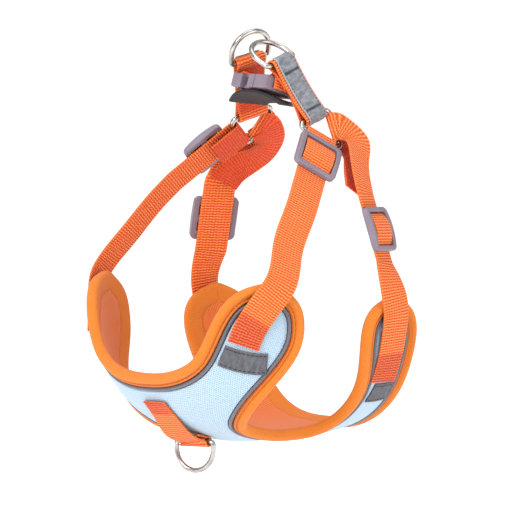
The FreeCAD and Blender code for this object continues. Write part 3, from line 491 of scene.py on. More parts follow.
def stations(places, count):
    """Points and width directions along a smooth path through (point, width direction) places."""
    points = np.array([place for place, _ in places])
    edges = np.array([place + unit(across) * 10.0 for place, across in places])
    at = chord(points)
    values = np.linspace(0, at[-1], count)
    route, edge = cubic(at, points, values), cubic(at, edges, values)
    return [(p, unit(e - p)) for p, e in zip(route, edge)]


def straight(start, end, across, count):
    return [(lerp(start, end, i / float(count)), across) for i in range(count)]


def fold(centre, away, normal, radius, across, count=12):
    angles = [math.pi * i / count for i in range(count + 1)]
    return [(centre + normal * (radius * math.cos(a)) + away * (radius * math.sin(a)), across)
            for a in angles]


class Strip:
    """The frames along a flat strip: point, width direction, outward normal and length so far."""

    def __init__(self, path, flip=1.0):
        points = np.array([place for place, _ in path])
        self.points, self.along = points, chord(points)
        ahead = points[np.minimum(np.arange(len(points)) + 1, len(points) - 1)]
        behind = points[np.maximum(np.arange(len(points)) - 1, 0)]
        tangents = [unit(a - b) for a, b in zip(ahead, behind)]
        self.flats = [unit(across - t * np.dot(across, t)) for (_, across), t in zip(path, tangents)]
        self.normals = [np.cross(f, t) * flip for f, t in zip(self.flats, tangents)]
        self.tangents = tangents

    def at(self, u, v, height):
        """A place on the strip: u across and v along it, at a height over its middle."""
        index = int(np.clip(np.searchsorted(self.along, v) - 1, 0, len(self.points) - 2))
        part = (v - self.along[index]) / (self.along[index + 1] - self.along[index])
        point = lerp(self.points[index], self.points[index + 1], part)
        flat = unit(lerp(self.flats[index], self.flats[index + 1], part))
        normal = unit(lerp(self.normals[index], self.normals[index + 1], part))
        return point + flat * u + normal * height, flat, normal


WEB_SHAPE = [(-0.5, 0.3), (-0.49, 0.72), (-0.47, 0.95), (-0.43, 1.0), (-0.3, 1.0), (-0.15, 1.0),
             (0.0, 1.0), (0.15, 1.0), (0.3, 1.0), (0.43, 1.0), (0.47, 0.95), (0.49, 0.72), (0.5, 0.3)]


def flat_strip(name, strip, width, thickness, material, sewn=(), inner=(), ripple=None):
    """A strip of webbing or leather with rounded edges. sewn and inner list (start, end) lengths
    that are stitched down or that lie underneath, and ripple adds a height at (u, v)."""
    points, uvs, sewn_values, inner_values = [], [], [], []
    shape = [(u, h, 1.0) for u, h in WEB_SHAPE] + [(u, h, -1.0) for u, h in reversed(WEB_SHAPE)]
    for i, point in enumerate(strip.points):
        v = strip.along[i]
        stitched = max([soft_step(v, *span) for span in sewn] or [0.0])
        # under marks the lengths that lie underneath; the webbing material paints them darker as painted
        # shade.
        under = max([soft_step(v, *span) for span in inner] or [0.0])
        for u, h, side in shape:
            height = side * h * thickness / 2
            if ripple:
                height += ripple(u * width, v)
            points.append(point + strip.flats[i] * (u * width) + strip.normals[i] * height)
            uvs.append((u * width, v + (0.5 if side < 0 else 0.0)))
            sewn_values.append(stitched)
            inner_values.append(under)
    return new_object(name, points, tube_faces(len(strip.points), len(shape)), uvs, material,
                      {"sewn": sewn_values, "inner": inner_values})


def soft_step(v, start, end, blur=1.2):
    rise = min(max((v - start) / blur + 0.5, 0.0), 1.0)
    fall = min(max((end - v) / blur + 0.5, 0.0), 1.0)
    return rise * fall


class Stitches:
    """Rows of thread laid on strips, collected into one mesh."""

    def __init__(self):
        self.points, self.faces, self.uvs = [], [], []

    def add(self, place, along, normal, length, width=0.45, height=0.34):
        across = np.cross(normal, along)
        first = len(self.points)
        rings = [(-0.5, 0.25), (-0.42, 0.8), (-0.2, 1.0), (0.2, 1.0), (0.42, 0.8), (0.5, 0.25)]
        for part, swell in rings:
            for k in range(6):
                angle = math.pi * 2 * k / 6
                self.points.append(place + along * (part * length)
                                   + across * (math.cos(angle) * width / 2 * swell)
                                   + normal * (math.sin(angle) * height / 2 * swell))
                self.uvs.append((k * width / 3, part * length))
        self.faces += tube_faces(len(rings), 6, first)

    def line(self, strip, start, end, height, pitch=2.6, length=1.9):
        """A row of stitches from one (u, v) place on a strip to another."""
        start, end = vec(*start), vec(*end)
        span = np.linalg.norm(end - start)
        count = max(int(round(span / pitch)), 1)
        for i in range(count):
            middle = lerp(start, end, (i + 0.5) / count)
            step = (end - start) / span * 0.3
            here, _, normal = strip.at(middle[0], middle[1], height)
            there, _, _ = strip.at(middle[0] + step[0], middle[1] + step[1], height)
            self.add(here, unit(there - here), normal, min(length, span / count * 0.8))

    def box(self, strip, half, low, high, height, cross=True):
        """A stitched box, with its two diagonals."""
        for u in (-half, half):
            self.line(strip, (u, low), (u, high), height)
        for v in (low, high):
            self.line(strip, (-half, v), (half, v), height)
        if cross:
            self.line(strip, (-half, low), (half, high), height)
            self.line(strip, (half, low), (-half, high), height)

    def bar_tack(self, strip, half, v, height):
        """A dense row of short threads across a strip."""
        count = int(half * 2 / 0.5)
        for i in range(count):
            u = lerp(-half, half, (i + 0.5) / count)
            lean = 0.25 if i % 2 else -0.25
            here, flat, normal = strip.at(u, v, height)
            there, _, _ = strip.at(u, v + 0.4, height)
            self.add(here, unit(unit(there - here) + flat * lean), normal, 1.8, 0.42)

    def build(self, name, material):
        return new_object(name, self.points, self.faces, self.uvs, material)


def grid_shell(name, outer, inner, material, uvs):
    """A closed sheet between two grids of points of the same size."""
    columns, rows = len(outer), len(outer[0])
    flat = [p for line in outer for p in line] + [p for line in inner for p in line]
    count, faces = columns * rows, []
    for i in range(columns - 1):
        for j in range(rows - 1):
            a, b, c, d = i * rows + j, (i + 1) * rows + j, (i + 1) * rows + j + 1, i * rows + j + 1
            faces.append((a, d, c, b))
            faces.append((count + a, count + b, count + c, count + d))
    rim = ([(i, 0) for i in range(columns)] + [(columns - 1, j) for j in range(1, rows)]
           + [(i, rows - 1) for i in reversed(range(columns - 1))]
           + [(0, j) for j in reversed(range(1, rows - 1))])
    for (i, j), (k, l) in zip(rim, rim[1:] + rim[:1]):
        a, b = i * rows + j, k * rows + l
        faces.append((a, b, count + b, count + a))
    return new_object(name, flat, faces, uvs + uvs, material)


# ---------------------------------------------------------------- cloth

CLOTH_FRAMES, PRESSURE = 20, 4.0


def puffed(obj, held, cap):
    """Blow up the fabric of a mesh with the cloth solver. Held points stay, and no point moves
    further than cap millimetres. The mesh itself is changed."""
    group = obj.vertex_groups.new(name="held")
    group.add(held, 1.0, "REPLACE")
    cloth = obj.modifiers.new("cloth", "CLOTH")
    settings = cloth.settings
    settings.vertex_group_mass = "held"
    settings.pin_stiffness = 5.0
    settings.quality = 6
    settings.mass = 0.15
    settings.tension_stiffness = settings.compression_stiffness = 18.0
    settings.shear_stiffness = 6.0
    settings.bending_stiffness = 0.3
    settings.use_pressure = True
    settings.uniform_pressure_force = PRESSURE
    settings.effector_weights.gravity = 0.0
    cloth.collision_settings.use_collision = False
    cloth.collision_settings.use_self_collision = False
    cloth.point_cache.frame_start, cloth.point_cache.frame_end = 1, CLOTH_FRAMES
    scene = bpy.context.scene
    for number in range(1, CLOTH_FRAMES + 1):
        scene.frame_set(number)
    blown = obj.evaluated_get(bpy.context.evaluated_depsgraph_get()).to_mesh()
    count = len(obj.data.vertices)
    after, before = np.empty(count * 3), np.empty(count * 3)
    blown.vertices.foreach_get("co", after)
    obj.data.vertices.foreach_get("co", before)
    move = (after - before).reshape(-1, 3)
    length = np.linalg.norm(move, axis=1, keepdims=True) + 1e-12
    limit = cap * MM
    move *= limit * np.tanh(length / limit) / length
    obj.to_mesh_clear()
    obj.modifiers.remove(cloth)
    obj.vertex_groups.remove(group)
    obj.data.vertices.foreach_set("co", before + move.ravel())
    obj.data.update()
    scene.frame_set(1)


def points_of(obj):
    flat = np.empty(len(obj.data.vertices) * 3)
    obj.data.vertices.foreach_get("co", flat)
    return flat.reshape(-1, 3) / MM


# ---------------------------------------------------------------- vest

def settle(piece, nodes, body, between=None):
    """Hide the CAD nodes that a piece stands for, and attach the piece to the body it moves with; with
    between, bake its placement into its mesh instead.
    """
    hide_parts(*([nodes] if isinstance(nodes, str) else nodes))
    if between:
        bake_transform(piece)
    else:
        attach(piece, body)


LINING_TOP, PANEL_LOW, PANEL_TOP = 2.4, 2.6, 4.0
GAP, PANEL_PUFF, ROLL_PUFF = 0.2, 1.3, 0.7
vest_angles = finer(spread(first_grid(41, 33)), 3)
COLUMNS, ROWS = vest_angles.shape[:2]


def vest_grid(lift):
    return [[chest_point(*vest_angles[i][j], lift) for j in range(ROWS)] for i in range(COLUMNS)]


CHEST_CURVE = 84.0
vest_uvs = [tuple(np.radians(place) * CHEST_CURVE) for line in vest_angles for place in line]

flat_panel = vest_grid(PANEL_TOP)
sheet_faces = []
for i in range(COLUMNS - 1):
    for j in range(ROWS - 1):
        a = i * ROWS + j
        sheet_faces.append((a, a + 1, a + ROWS + 1, a + ROWS))
cover = new_object("panel_cloth", [p for line in flat_panel for p in line], sheet_faces, vest_uvs, MESH)
held = [i * ROWS + j for i in range(COLUMNS) for j in range(ROWS)
        if i in (0, COLUMNS - 1) or j in (0, ROWS - 1)]
puffed(cover, held, PANEL_PUFF)
puffy = points_of(cover).reshape(COLUMNS, ROWS, 3)
bpy.data.objects.remove(cover)
panel = grid_shell("panel_fabric", puffy, vest_grid(PANEL_LOW), MESH, vest_uvs)
settle(panel, "vest_panel", "vest")

lining = grid_shell("lining_fabric", vest_grid(LINING_TOP), vest_grid(0.0), LINING, vest_uvs)
settle(lining, "vest_lining", "vest")


def edge_frames(line, outward):
    """For each place of an outline: its point on the chest, and the direction beside the outline."""
    base = [chest_point(a, b, 0.0) for a, b in line]
    frames = []
    for i, point in enumerate(base):
        ahead, behind = base[min(i + 1, len(base) - 1)], base[max(i - 1, 0)]
        normal = chest_normal(point)
        frames.append((point, unit(np.cross(ahead - behind, normal)) * outward))
    return frames


JOIN_STEPS = 6


def joined(frames, neighbours):
    """Frames with a fan at each end that turns the tube half-way round the wing's tip."""
    fans = []
    for (point, across), other in zip((frames[0], frames[-1]), neighbours):
        middle = unit(across + other)
        fans.append([(point, unit(lerp(middle, across, k / JOIN_STEPS))) for k in range(JOIN_STEPS)])
    return fans[0] + frames + fans[1][::-1]


def edge_tube(name, frames, start, profile, material):
    """A tube beside one of the vest's outlines. profile is a closed loop of (distance from the
    outline, lift) pairs in order, and its distances are carried over the chest."""
    along = chord([point + across * (start + 3.0) for point, across in frames])
    around = chord(profile + profile[:1])
    points, uvs = [], []
    for i, (point, across) in enumerate(frames):
        for k, (distance, lift) in enumerate(profile):
            points.append(lifted(point + across * (start + distance), lift))
            uvs.append((around[k], along[i]))
    return new_object(name, points, tube_faces(len(frames), len(profile)), uvs, material), len(profile)


PIPING_SHAPE = [(0.0, 3.0), (0.15, 4.0), (0.55, 4.75), (1.15, 5.0), (1.75, 4.75), (2.15, 4.0),
                (2.3, 3.0), (2.3, 0.7), (1.15, 0.6), (0.0, 0.7)]
ROLL_SHAPE = [(0.0, 2.6), (0.1, 4.1), (0.5, 4.95), (1.05, 5.05), (1.55, 4.6), (1.85, 3.9), (2.1, 4.3),
              (2.6, 5.5), (3.4, 6.4), (4.4, 6.8), (5.4, 6.6), (6.4, 5.9), (7.2, 4.7), (7.65, 3.2),
              (7.6, 1.7), (7.0, 0.6), (5.8, 0.1), (3.8, 0.0), (1.8, 0.05), (-0.6, 0.05), (-3.3, 0.08),
              (-3.3, 0.5), (-0.6, 0.55), (0.05, 1.0)]
ROLL_HELD = (0, 5, *range(14, len(ROLL_SHAPE)))
PIPING_START = 0.4
ROLL_START = PIPING_START + 2.3 + 0.4
lines = {"neck": (even(both_sides(NECK_EDGE), 260), 1), "rear": (even(both_sides(REAR_EDGE), 260), -1)}
leg_line = even(LEG_EDGE, 340)
lines["leg_left"] = (leg_line, -1)
lines["leg_right"] = (leg_line * vec(-1, 1), 1)
edges = {key: edge_frames(line, outward) for key, (line, outward) in lines.items()}
TIPS = {"neck": (("leg_left", 0), ("leg_right", 0)), "rear": (("leg_left", -1), ("leg_right", -1)),
        "leg_left": (("neck", 0), ("rear", 0)), "leg_right": (("neck", -1), ("rear", -1))}
for key, tips in TIPS.items():
    route = joined(edges[key], [edges[other][end][1] for other, end in tips])
    piping, _ = edge_tube(key + "_binding", route, PIPING_START, PIPING_SHAPE, PIPING)
    settle(piping, key + "_piping", "vest")
    roll, around = edge_tube(key + "_pad", route, ROLL_START, ROLL_SHAPE, KNIT)
    rings = len(roll.data.vertices) // around
    fixed = [i * around + k for i in range(rings) for k in ROLL_HELD]
    fixed += list(range(around)) + list(range((rings - 1) * around, rings * around))
    puffed(roll, sorted(set(fixed)), ROLL_PUFF)
    settle(roll, key + "_roll", "vest")


# ---------------------------------------------------------------- straps

SIDES = ("left", "right")
WEB, THICK, CLEAR, WIRE_SIZE = 19.0, 1.3, 0.35, 3.0
FOLD_RADIUS = WIRE_SIZE / 2 + CLEAR + THICK / 2
STITCH_LIFT, SEW_HALF = 0.72, 7.6
RING_CENTRE = vec(32.0, 26.0, 90.2)
RING_OUT = unit(vec(0.805, -0.01, 0.587))
RING_REAR = unit(vec(0.1, 0.985, -0.12) - RING_OUT * np.dot(vec(0.1, 0.985, -0.12), RING_OUT))
RING_UP = np.cross(RING_OUT, RING_REAR)
RING_INRADIUS = 30.0 / (2 * math.sqrt(3))
SEWN_LIFT = PANEL_TOP + GAP + THICK / 2
ROLL_LIFT = 6.6 + 2 * GAP + THICK / 2


def in_ring(angle):
    return RING_UP * math.cos(math.radians(angle)) + RING_REAR * math.sin(math.radians(angle))


def ring_bar(angle):
    return RING_CENTRE + in_ring(angle) * RING_INRADIUS, in_ring(angle), in_ring(angle + 90)


def mirror_path(path):
    return [(p * vec(-1, 1, 1), a * vec(-1, 1, 1)) for p, a in path]


def side_strip(path, side):
    """A strip for one side: the mirror image keeps its outward side outward."""
    if side == "left":
        return Strip(path)
    return Strip(mirror_path(path), flip=-1.0)


def thread(stitches, name, material, slot_name, body):
    piece = stitches.build(name, material)
    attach(piece, body)


def facing(strip, outward):
    """+1 or -1: the side of a strip that faces outward, at its start."""
    return 1.0 if np.dot(strip.normals[4], outward) > 0 else -1.0


def wing_patch(label, start, end, wrinkle):
    middle = PANEL_TOP + GAP / 2 + 0.4
    places = [chest_point(*[lerp(s, e, part / 6.0) for s, e in zip(start, end)], middle)
              for part in range(7)]
    run = unit(places[-1] - places[0])
    path = stations([(p, unit(np.cross(chest_normal(p), run))) for p in places], 34)
    for side in SIDES:
        strip = side_strip(path, side)

        def ripple(u, v):
            fade = 1.0 - (abs(u) / 6.5) ** 2
            return wrinkle * fade * math.sin(v * 1.1 + math.sin(u * 0.7) * 1.6)
        piece = flat_strip("%s_leather_%s" % (label, side), strip, 13.0, 0.8, PATCH, ripple=ripple)
        settle(piece, "%s_%s" % (label, side), "vest")
        rows = Stitches()
        lift = 0.52 * facing(strip, chest_normal(strip.points[4]))
        for u in (-5.0, 5.0):
            rows.line(strip, (u, 0.5), (u, strip.along[-1] - 0.5), lift, 2.6, 1.9)
        thread(rows, "%s_stitches_%s" % (label, side), DARK_THREAD, "patch", "vest")


wing_patch("front_patch", (35.6, 26.8), (48.0, 40.4), 0.12)
wing_patch("rear_patch", (43.5, 119.5), (38.5, 130.5), 0.25)

# Front straps.
TAB_TURN, FRONT_TURN, GIRTH_TURN = -30.0, -150.0, 90.0
front_bar, front_away, front_across = ring_bar(FRONT_TURN)
front_across = -front_across
SLIDER_DROP, FRONT_STRAIGHT = 19.0, 46.0
front_top = front_bar + RING_OUT * FOLD_RADIUS
front_split = front_top + front_away * FRONT_STRAIGHT
front_slider = front_top + front_away * SLIDER_DROP
wing_across = unit(vec(0.37, 0.81, -0.44))
front_bend = vec(71.5, -33.0, 26.0)
front_lower = [(chest_point(43.6, 25.6, SEWN_LIFT + 1.2), wing_across),
               (chest_point(47.5, 18.5, SEWN_LIFT + 0.6), wing_across),
               (chest_point(51.8, 11.0, SEWN_LIFT + 1.8), wing_across),
               (chest_point(55.5, 3.0, ROLL_LIFT + 0.7), wing_across),
               (chest_point(58.5, -5.5, ROLL_LIFT + 1.0), unit(vec(0.35, 0.84, -0.42))),
               (front_bend, unit(vec(0.33, 0.84, -0.44))),
               (lerp(front_split, front_bend, 0.40) + RING_OUT, front_across),
               (front_split, front_across)]
front_low = stations(front_lower, 110)
front_outer = straight(front_split, front_top, front_across, 40)[1:]
under = front_bar - RING_OUT * FOLD_RADIUS
front_inner = straight(under, under + front_away * SLIDER_DROP, front_across, 16)[1:]
front_path = (front_low + front_outer
              + fold(front_bar, -front_away, RING_OUT, FOLD_RADIUS, front_across) + front_inner)


def front_strap(side):
    strip = side_strip(front_path, side)
    length = strip.along[-1]
    piece = flat_strip("front_webbing_" + side, strip, WEB, THICK, WEBBING, sewn=[(-2.0, 17.0)],
                       inner=[(length - SLIDER_DROP - 4.0, length + 5.0)])
    between = ("vest", "left_top", strip.points[30], strip.points[98]) if side == "left" else None
    settle(piece, ("front_strap_lower_" + side, "front_strap_upper_" + side), "vest", between)
    rows = Stitches()
    lift = STITCH_LIFT * facing(strip, chest_normal(strip.points[4]))
    rows.box(strip, SEW_HALF, 1.4, 15.6, lift)
    rows.line(strip, (-SEW_HALF, 3.4), (SEW_HALF, 3.4), lift)
    rows.line(strip, (-SEW_HALF, 13.6), (SEW_HALF, 13.6), lift)
    thread(rows, "front_stitches_" + side, RED_THREAD, "webbing", "vest")


for side in SIDES:
    front_strap(side)

# Girth straps.
girth_bar, girth_away, girth_across = ring_bar(GIRTH_TURN)
girth_across = -girth_across
girth_bar = girth_bar + RING_UP * 0.6
GIRTH_DOWN = unit(vec(0.308, 0.09, -0.947))
girth_split = vec(64.2, 30.2, 55.0)
girth_low = girth_split + GIRTH_DOWN * 42.0
flank_across = unit(vec(-0.05, 0.99, 0.078))
rib_across = unit(vec(-0.40, 0.90, -0.045))
rib_out = np.cross(rib_across, -GIRTH_DOWN)
girth_slider = girth_split + GIRTH_DOWN * 23.0
girth_lower = [(chest_point(46.5, 126.0, SEWN_LIFT + 1.0), flank_across),
               (chest_point(53.5, 134.5, SEWN_LIFT + 1.4), flank_across),
               (chest_point(60.0, 147.0, SEWN_LIFT + 2.8), flank_across),
               (chest_point(63.5, 160.0, ROLL_LIFT + 0.9), flank_across),
               (chest_point(65.5, 171.0, ROLL_LIFT + 0.8), flank_across),
               (girth_low, rib_across)]
girth_lower_path = stations(girth_lower, 70) + straight(girth_low, girth_split, rib_across, 36)[1:]
girth_top = girth_bar + RING_OUT * FOLD_RADIUS
girth_under = girth_bar - RING_OUT * FOLD_RADIUS


def girth_turn(part):
    return unit(lerp(girth_across, rib_across, part))


girth_curve = [(girth_split, rib_across),
               (vec(57.8, 32.6, 66.0), girth_turn(0.95)),
               (vec(49.4, 38.0, 76.5), girth_turn(0.66)),
               (vec(40.5, 41.5, 85.0), girth_turn(0.26)),
               (girth_top + girth_away * 1.5 + RING_OUT * 0.3, girth_across)]
girth_back = [(girth_under + girth_away * 1.5 - RING_OUT * 0.4, girth_across),
              (vec(34.6, 42.4, 79.6), girth_turn(0.12)),
              (vec(42.8, 41.0, 70.6), girth_turn(0.58)),
              (vec(53.0, 31.4, 62.5), girth_turn(0.95)),
              (girth_split - GIRTH_DOWN * 2.0 - rib_out * 6.0, rib_across)]
girth_outside = girth_lower_path + stations(girth_curve, 46)[1:]
girth_path = (girth_outside + fold(girth_bar, -girth_away, RING_OUT, FOLD_RADIUS, girth_across)
              + stations(girth_back, 46))


def girth_strap(side):
    strip = side_strip(girth_path, side)
    turn_at, length = strip.along[len(girth_outside) + 6], strip.along[-1]
    piece = flat_strip("girth_webbing_" + side, strip, WEB, THICK, WEBBING, sewn=[(-2.0, 18.0)],
                       inner=[(turn_at + 2.0, length + 5.0)])
    between = ("vest", "left_top", girth_split, girth_bar) if side == "left" else None
    settle(piece, ("girth_strap_lower_" + side, "girth_strap_upper_" + side), "vest", between)
    rows = Stitches()
    rows.box(strip, SEW_HALF, 1.4, 16.5, STITCH_LIFT * facing(strip, chest_normal(strip.points[4])))
    thread(rows, "girth_stitches_" + side, RED_THREAD, "webbing", "vest")


for side in SIDES:
    girth_strap(side)


# The strap ends that bulge over the sliders' bars.
def slider_wrap(name, side, middle, along, out):
    origin = middle + out * (THICK / 2 + CLEAR)
    reach = 10.0 - 0.6
    top, low = 2.2 + THICK / 2 + 1.2, THICK / 2 + 0.3
    across = unit(np.cross(out, along))
    humps = [(-1.0, low), (-0.75, lerp(low, top, 0.45)), (-0.4, lerp(low, top, 0.9)), (0.0, top),
             (0.4, lerp(low, top, 0.9)), (0.75, lerp(low, top, 0.45)), (1.0, low)]
    path = stations([(origin + along * (part * reach) + out * lift, across) for part, lift in humps], 26)
    piece = flat_strip("%s_wrap_%s" % (name, side), side_strip(path, side), WEB, THICK, WEBBING)
    settle(piece, "%s_slider_wrap_%s" % (name, side), "%s_slider_%s" % (name, side))


for side in SIDES:
    slider_wrap("front", side, front_slider, front_away, RING_OUT)
    slider_wrap("girth", side, girth_slider, GIRTH_DOWN, rib_out)

# ---------------------------------------------------------------- tabs

LEASH_BAR = vec(14.0, 10.2, 128.0)
LEASH_ACROSS = unit(vec(-0.2, 0.95, 0.24))
tab_bar, _, tab_across = ring_bar(TAB_TURN)
tab_rise = unit(LEASH_BAR - tab_bar)
tab_out = unit(np.cross(tab_across, tab_rise))
tab_out = tab_out * (1 if tab_out[0] > 0 else -1)
leash_out = unit(tab_out - LEASH_ACROSS * np.dot(tab_out, LEASH_ACROSS))
LEAF_GAP = THICK + 0.35
tab_middle_across = unit(tab_across + LEASH_ACROSS)


def tab_route(offset):
    radius = FOLD_RADIUS + offset
    return [(tab_bar + tab_out * radius + tab_rise * 0.5, tab_across),
            (lerp(tab_bar, LEASH_BAR, 0.22) + tab_out * (radius - 0.9), tab_across),
            (lerp(tab_bar, LEASH_BAR, 0.50) + tab_out * (radius - 1.2), tab_middle_across),
            (lerp(tab_bar, LEASH_BAR, 0.78) + tab_out * (radius - 0.7), LEASH_ACROSS),
            (LEASH_BAR + leash_out * radius - tab_rise * 0.5, LEASH_ACROSS)]


def inner_leaf(part):
    return lerp(tab_bar, LEASH_BAR, part) + tab_out * (FOLD_RADIUS - 1.0 - LEAF_GAP)


tab_low_end = stations([(inner_leaf(0.42), tab_middle_across), (inner_leaf(0.3), tab_across),
                        (tab_bar - tab_out * FOLD_RADIUS + tab_rise * 0.5, tab_across)], 10)
tab_low_fold = fold(tab_bar, -tab_rise, tab_out, FOLD_RADIUS, tab_across)
tab_high_fold = fold(LEASH_BAR, tab_rise, leash_out, FOLD_RADIUS, LEASH_ACROSS)
tab_high_end = stations([(LEASH_BAR - leash_out * FOLD_RADIUS - tab_rise * 0.5, LEASH_ACROSS),
                         (inner_leaf(0.72), LEASH_ACROSS), (inner_leaf(0.56), tab_middle_across)], 10)
tab_path = tab_low_end + tab_low_fold[::-1] + stations(tab_route(0.0), 34) + tab_high_fold + tab_high_end
cover_offset = THICK / 2 + 0.4 + 0.12
cover_radius = FOLD_RADIUS + cover_offset
cover_low = fold(tab_bar, -tab_rise, tab_out, cover_radius, tab_across)[:7]
cover_high = fold(LEASH_BAR, tab_rise, leash_out, cover_radius, LEASH_ACROSS)[:5]
cover_path = cover_low[::-1] + stations(tab_route(cover_offset), 48) + cover_high


def tab(side):
    body = "left_top" if side == "left" else "vest"
    strip = side_strip(tab_path, side)
    length = strip.along[-1]
    piece = flat_strip("tab_ribbon_" + side, strip, WEB, THICK, WEBBING,
                       inner=[(-2.0, 13.0), (length - 13.0, length + 2.0)])
    settle(piece, "tab_webbing_" + side, body)
    cover_strip = side_strip(cover_path, side)

    def ripple(u, v):
        fade = 1.0 - (abs(u) / 7.8) ** 2
        return 0.22 * fade * math.sin(v * 0.9 + math.sin(u * 0.5 + v * 0.2) * 1.5)
    piece = flat_strip("tab_suede_" + side, cover_strip, 15.5, 0.8, SUEDE, ripple=ripple)
    settle(piece, "tab_cover_" + side, body)
    outward = facing(cover_strip, (tab_out + tab_rise * -0.5) * (1 if side == "left" else vec(-1, 1, 1)))
    rows = Stitches()
    length = cover_strip.along[-1]
    for u in (-6.6, 6.6):
        rows.line(cover_strip, (u, 4.0), (u, length - 4.0), 0.5 * outward, 2.2, 1.6)
    for v in (10.0, length - 11.5):
        rows.bar_tack(cover_strip, 6.6, v, 0.55 * outward)
    thread(rows, "tab_stitches_" + side, GRAY_THREAD, "tab_leather", body)


for side in SIDES:
    tab(side)

# ---------------------------------------------------------------- chest loop, buckle leaves, back pad

CHEST_BAR = vec(0.0, -42.0, -87.4)
turn = math.radians(18.0)
chest_across = vec(math.cos(turn), math.sin(turn), 0.0)
loop_down = unit(vec(0.0, 0.42, -0.9))
loop_out = unit(np.cross(chest_across, loop_down))
loop_out = loop_out * (-1 if loop_out[1] > 0 else 1)
side_on = vec(1.0, 0.0, 0.0)
loop_outer = stations([(chest_point(0, 41.5, SEWN_LIFT + 0.6), side_on),
                       (chest_point(0, 50.0, SEWN_LIFT + 1.4), unit(lerp(side_on, chest_across, 0.35))),
                       (chest_point(0, 56.0, SEWN_LIFT + 4.0), unit(lerp(side_on, chest_across, 0.8))),
                       (CHEST_BAR + loop_out * FOLD_RADIUS - loop_down * 1.0, chest_across)], 30)
loop_fold = fold(CHEST_BAR, loop_down, loop_out, FOLD_RADIUS, chest_across)
loop_inner = stations([(CHEST_BAR - loop_out * FOLD_RADIUS - loop_down * 1.0, chest_across),
                       (chest_point(0, 60.0, SEWN_LIFT + 1.7), unit(lerp(side_on, chest_across, 0.9)))], 8)
strip = Strip(loop_outer + loop_fold + loop_inner)
outward = facing(strip, chest_normal(strip.points[4]))
loop = flat_strip("chest_webbing", strip, WEB, THICK, WEBBING, sewn=[(-2.0, 9.5)])
settle(loop, "chest_loop", "vest")
rows = Stitches()
rows.box(strip, SEW_HALF, 1.2, 9.0, STITCH_LIFT * outward)
thread(rows, "chest_stitches", RED_THREAD, "webbing", "vest")

BUCKLE_ORIGIN = vec(0.8, 9.5, 109.5)
buckle_out = unit(vec(0, 0.31, 0.95))
buckle_across = np.cross(buckle_out, vec(1, 0, 0))


def on_buckle(along, lift):
    return BUCKLE_ORIGIN + vec(1, 0, 0) * along + buckle_out * lift


bar_reach = 3 + 0.4 + 11.0 - 1.5
bar_top = 8.0 + CLEAR + THICK / 2 + 0.3
slot_middle = bar_reach - (3.0 + 3.6) / 2
leaf_path = stations([(on_buckle(slot_middle, 4.0), buckle_across),
                      (on_buckle(slot_middle + 0.1, bar_top - 0.9), buckle_across),
                      (on_buckle(slot_middle + 1.6, bar_top + 0.2), buckle_across),
                      (on_buckle(bar_reach + 1.4, bar_top - 0.1), buckle_across),
                      (on_buckle(bar_reach + 2.5, bar_top - 2.6), buckle_across),
                      (on_buckle(bar_reach + 3.2, bar_top - 8.0), buckle_across)], 40)
for side in SIDES:
    piece = flat_strip("buckle_ribbon_" + side, side_strip(leaf_path, side), 16.0, THICK, WEBBING)
    settle(piece, "buckle_leaf_" + side, "left_top" if side == "left" else "vest")

pad_middle = BUCKLE_ORIGIN + vec(-0.8, 0, 0) - buckle_out * 2.0
pad_path = stations([(pad_middle + vec(part * 17.0, abs(part) ** 3 * 3.0, -4.0 * abs(part) ** 2.6),
                      buckle_across) for part in np.linspace(-1, 1, 9)], 60)
pad_strip = Strip(pad_path)
pad = flat_strip("back_cushion", pad_strip, 23.0, 2.0, PAD)
settle(pad, "back_pad", "vest")

# ---------------------------------------------------------------- hardware keeps its CAD shape

for name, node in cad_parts.items():
    if "slider_wrap" in name:
        continue
    if name.startswith(("strap_ring", "leash_ring", "chest_ring")):
        finish = WIRE
    elif name.startswith(("front_slider", "girth_slider", "buckle_socket", "buckle_plug", "buckle_latch")):
        finish = PLASTIC
    else:
        continue
    for material_slot in node.material_slots:
        material_slot.material = finish

# ---------------------------------------------------------------- floor, light and camera

scene = bpy.context.scene
scene.view_settings.view_transform = "Standard"
world = bpy.data.worlds.new("studio")
world.use_nodes = True
world.node_tree.nodes["Background"].inputs[0].default_value = (1.0, 1.0, 1.0, 1.0)
world.node_tree.nodes["Background"].inputs[1].default_value = 0.58
scene.world = world

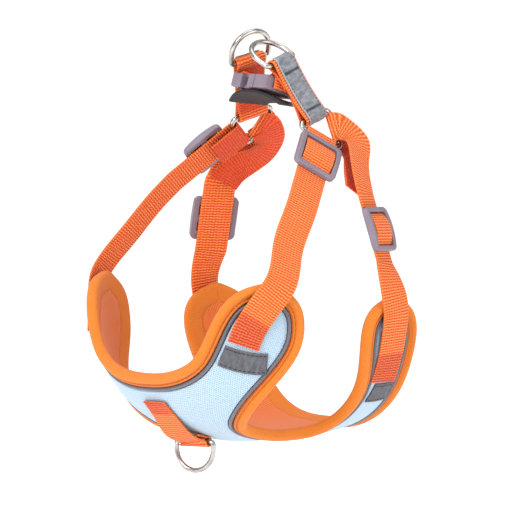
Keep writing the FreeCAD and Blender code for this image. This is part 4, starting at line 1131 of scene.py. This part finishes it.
paper = bpy.data.materials.new("studio_paper")
paper.use_nodes = True
for socket, value in (("Base Color", (0.93, 0.93, 0.93, 1.0)), ("Roughness", 0.9),
                      ("Emission Color", (1.0, 1.0, 1.0, 1.0)), ("Emission Strength", 0.5)):
    paper.node_tree.nodes["Principled BSDF"].inputs[socket].default_value = value
floor_mesh = bpy.data.meshes.new("studio_floor")
reach, floor_z = 40.0, cad_box[0][2] - 0.02
corners = [(x * reach, y * reach, floor_z) for x, y in ((-1, -1), (1, -1), (1, 1), (-1, 1))]
floor_mesh.from_pydata(corners, [], [(0, 1, 2, 3)])
floor_mesh.materials.append(paper)
floor = bpy.data.objects.new("studio_floor", floor_mesh)
scene.collection.objects.link(floor)

AZIMUTH, ELEVATION, DISTANCE = 50.0, 3.5, 8.0
VIEW_WIDTH, AIM_RIGHT, AIM_UP = 0.297, 0.0048, 0.0143
azimuth, elevation = math.radians(AZIMUTH), math.radians(ELEVATION)
# The camera looks from the dog's front left; azimuth is turned from the head towards the left side.
view_from = vec(math.sin(azimuth) * math.cos(elevation), -math.cos(azimuth) * math.cos(elevation),
                math.sin(elevation))
view_right = vec(math.cos(azimuth), math.sin(azimuth), 0.0)
view_up = np.cross(view_right, -view_from)
aim = view_right * AIM_RIGHT + vec(0, 0, AIM_UP)


def look(obj, towards):
    direction = Vector(towards) - obj.location
    obj.rotation_euler = direction.to_track_quat("-Z", "Y").to_euler()


lens = bpy.data.cameras.new("camera")
lens.sensor_width = 36.0
lens.lens = lens.sensor_width * DISTANCE / VIEW_WIDTH
lens.clip_end = 100.0
camera = bpy.data.objects.new("camera", lens)
camera.location = aim + view_from * DISTANCE
look(camera, aim)
scene.collection.objects.link(camera)
scene.camera = camera

for name, offset, power, width in (("key", (-0.9, 0.9, 1.2), 21.0, 0.9), ("fill", (1.1, 0.3, 1.0), 7.0, 1.2),
                                   ("top", (0.0, 1.6, 0.1), 10.0, 1.2)):
    lamp = bpy.data.lights.new(name, "AREA")
    lamp.energy, lamp.size = power, width
    light = bpy.data.objects.new(name, lamp)
    right, up, out = offset
    light.location = aim + view_right * right + view_up * up + view_from * out
    look(light, aim)
    scene.collection.objects.link(light)
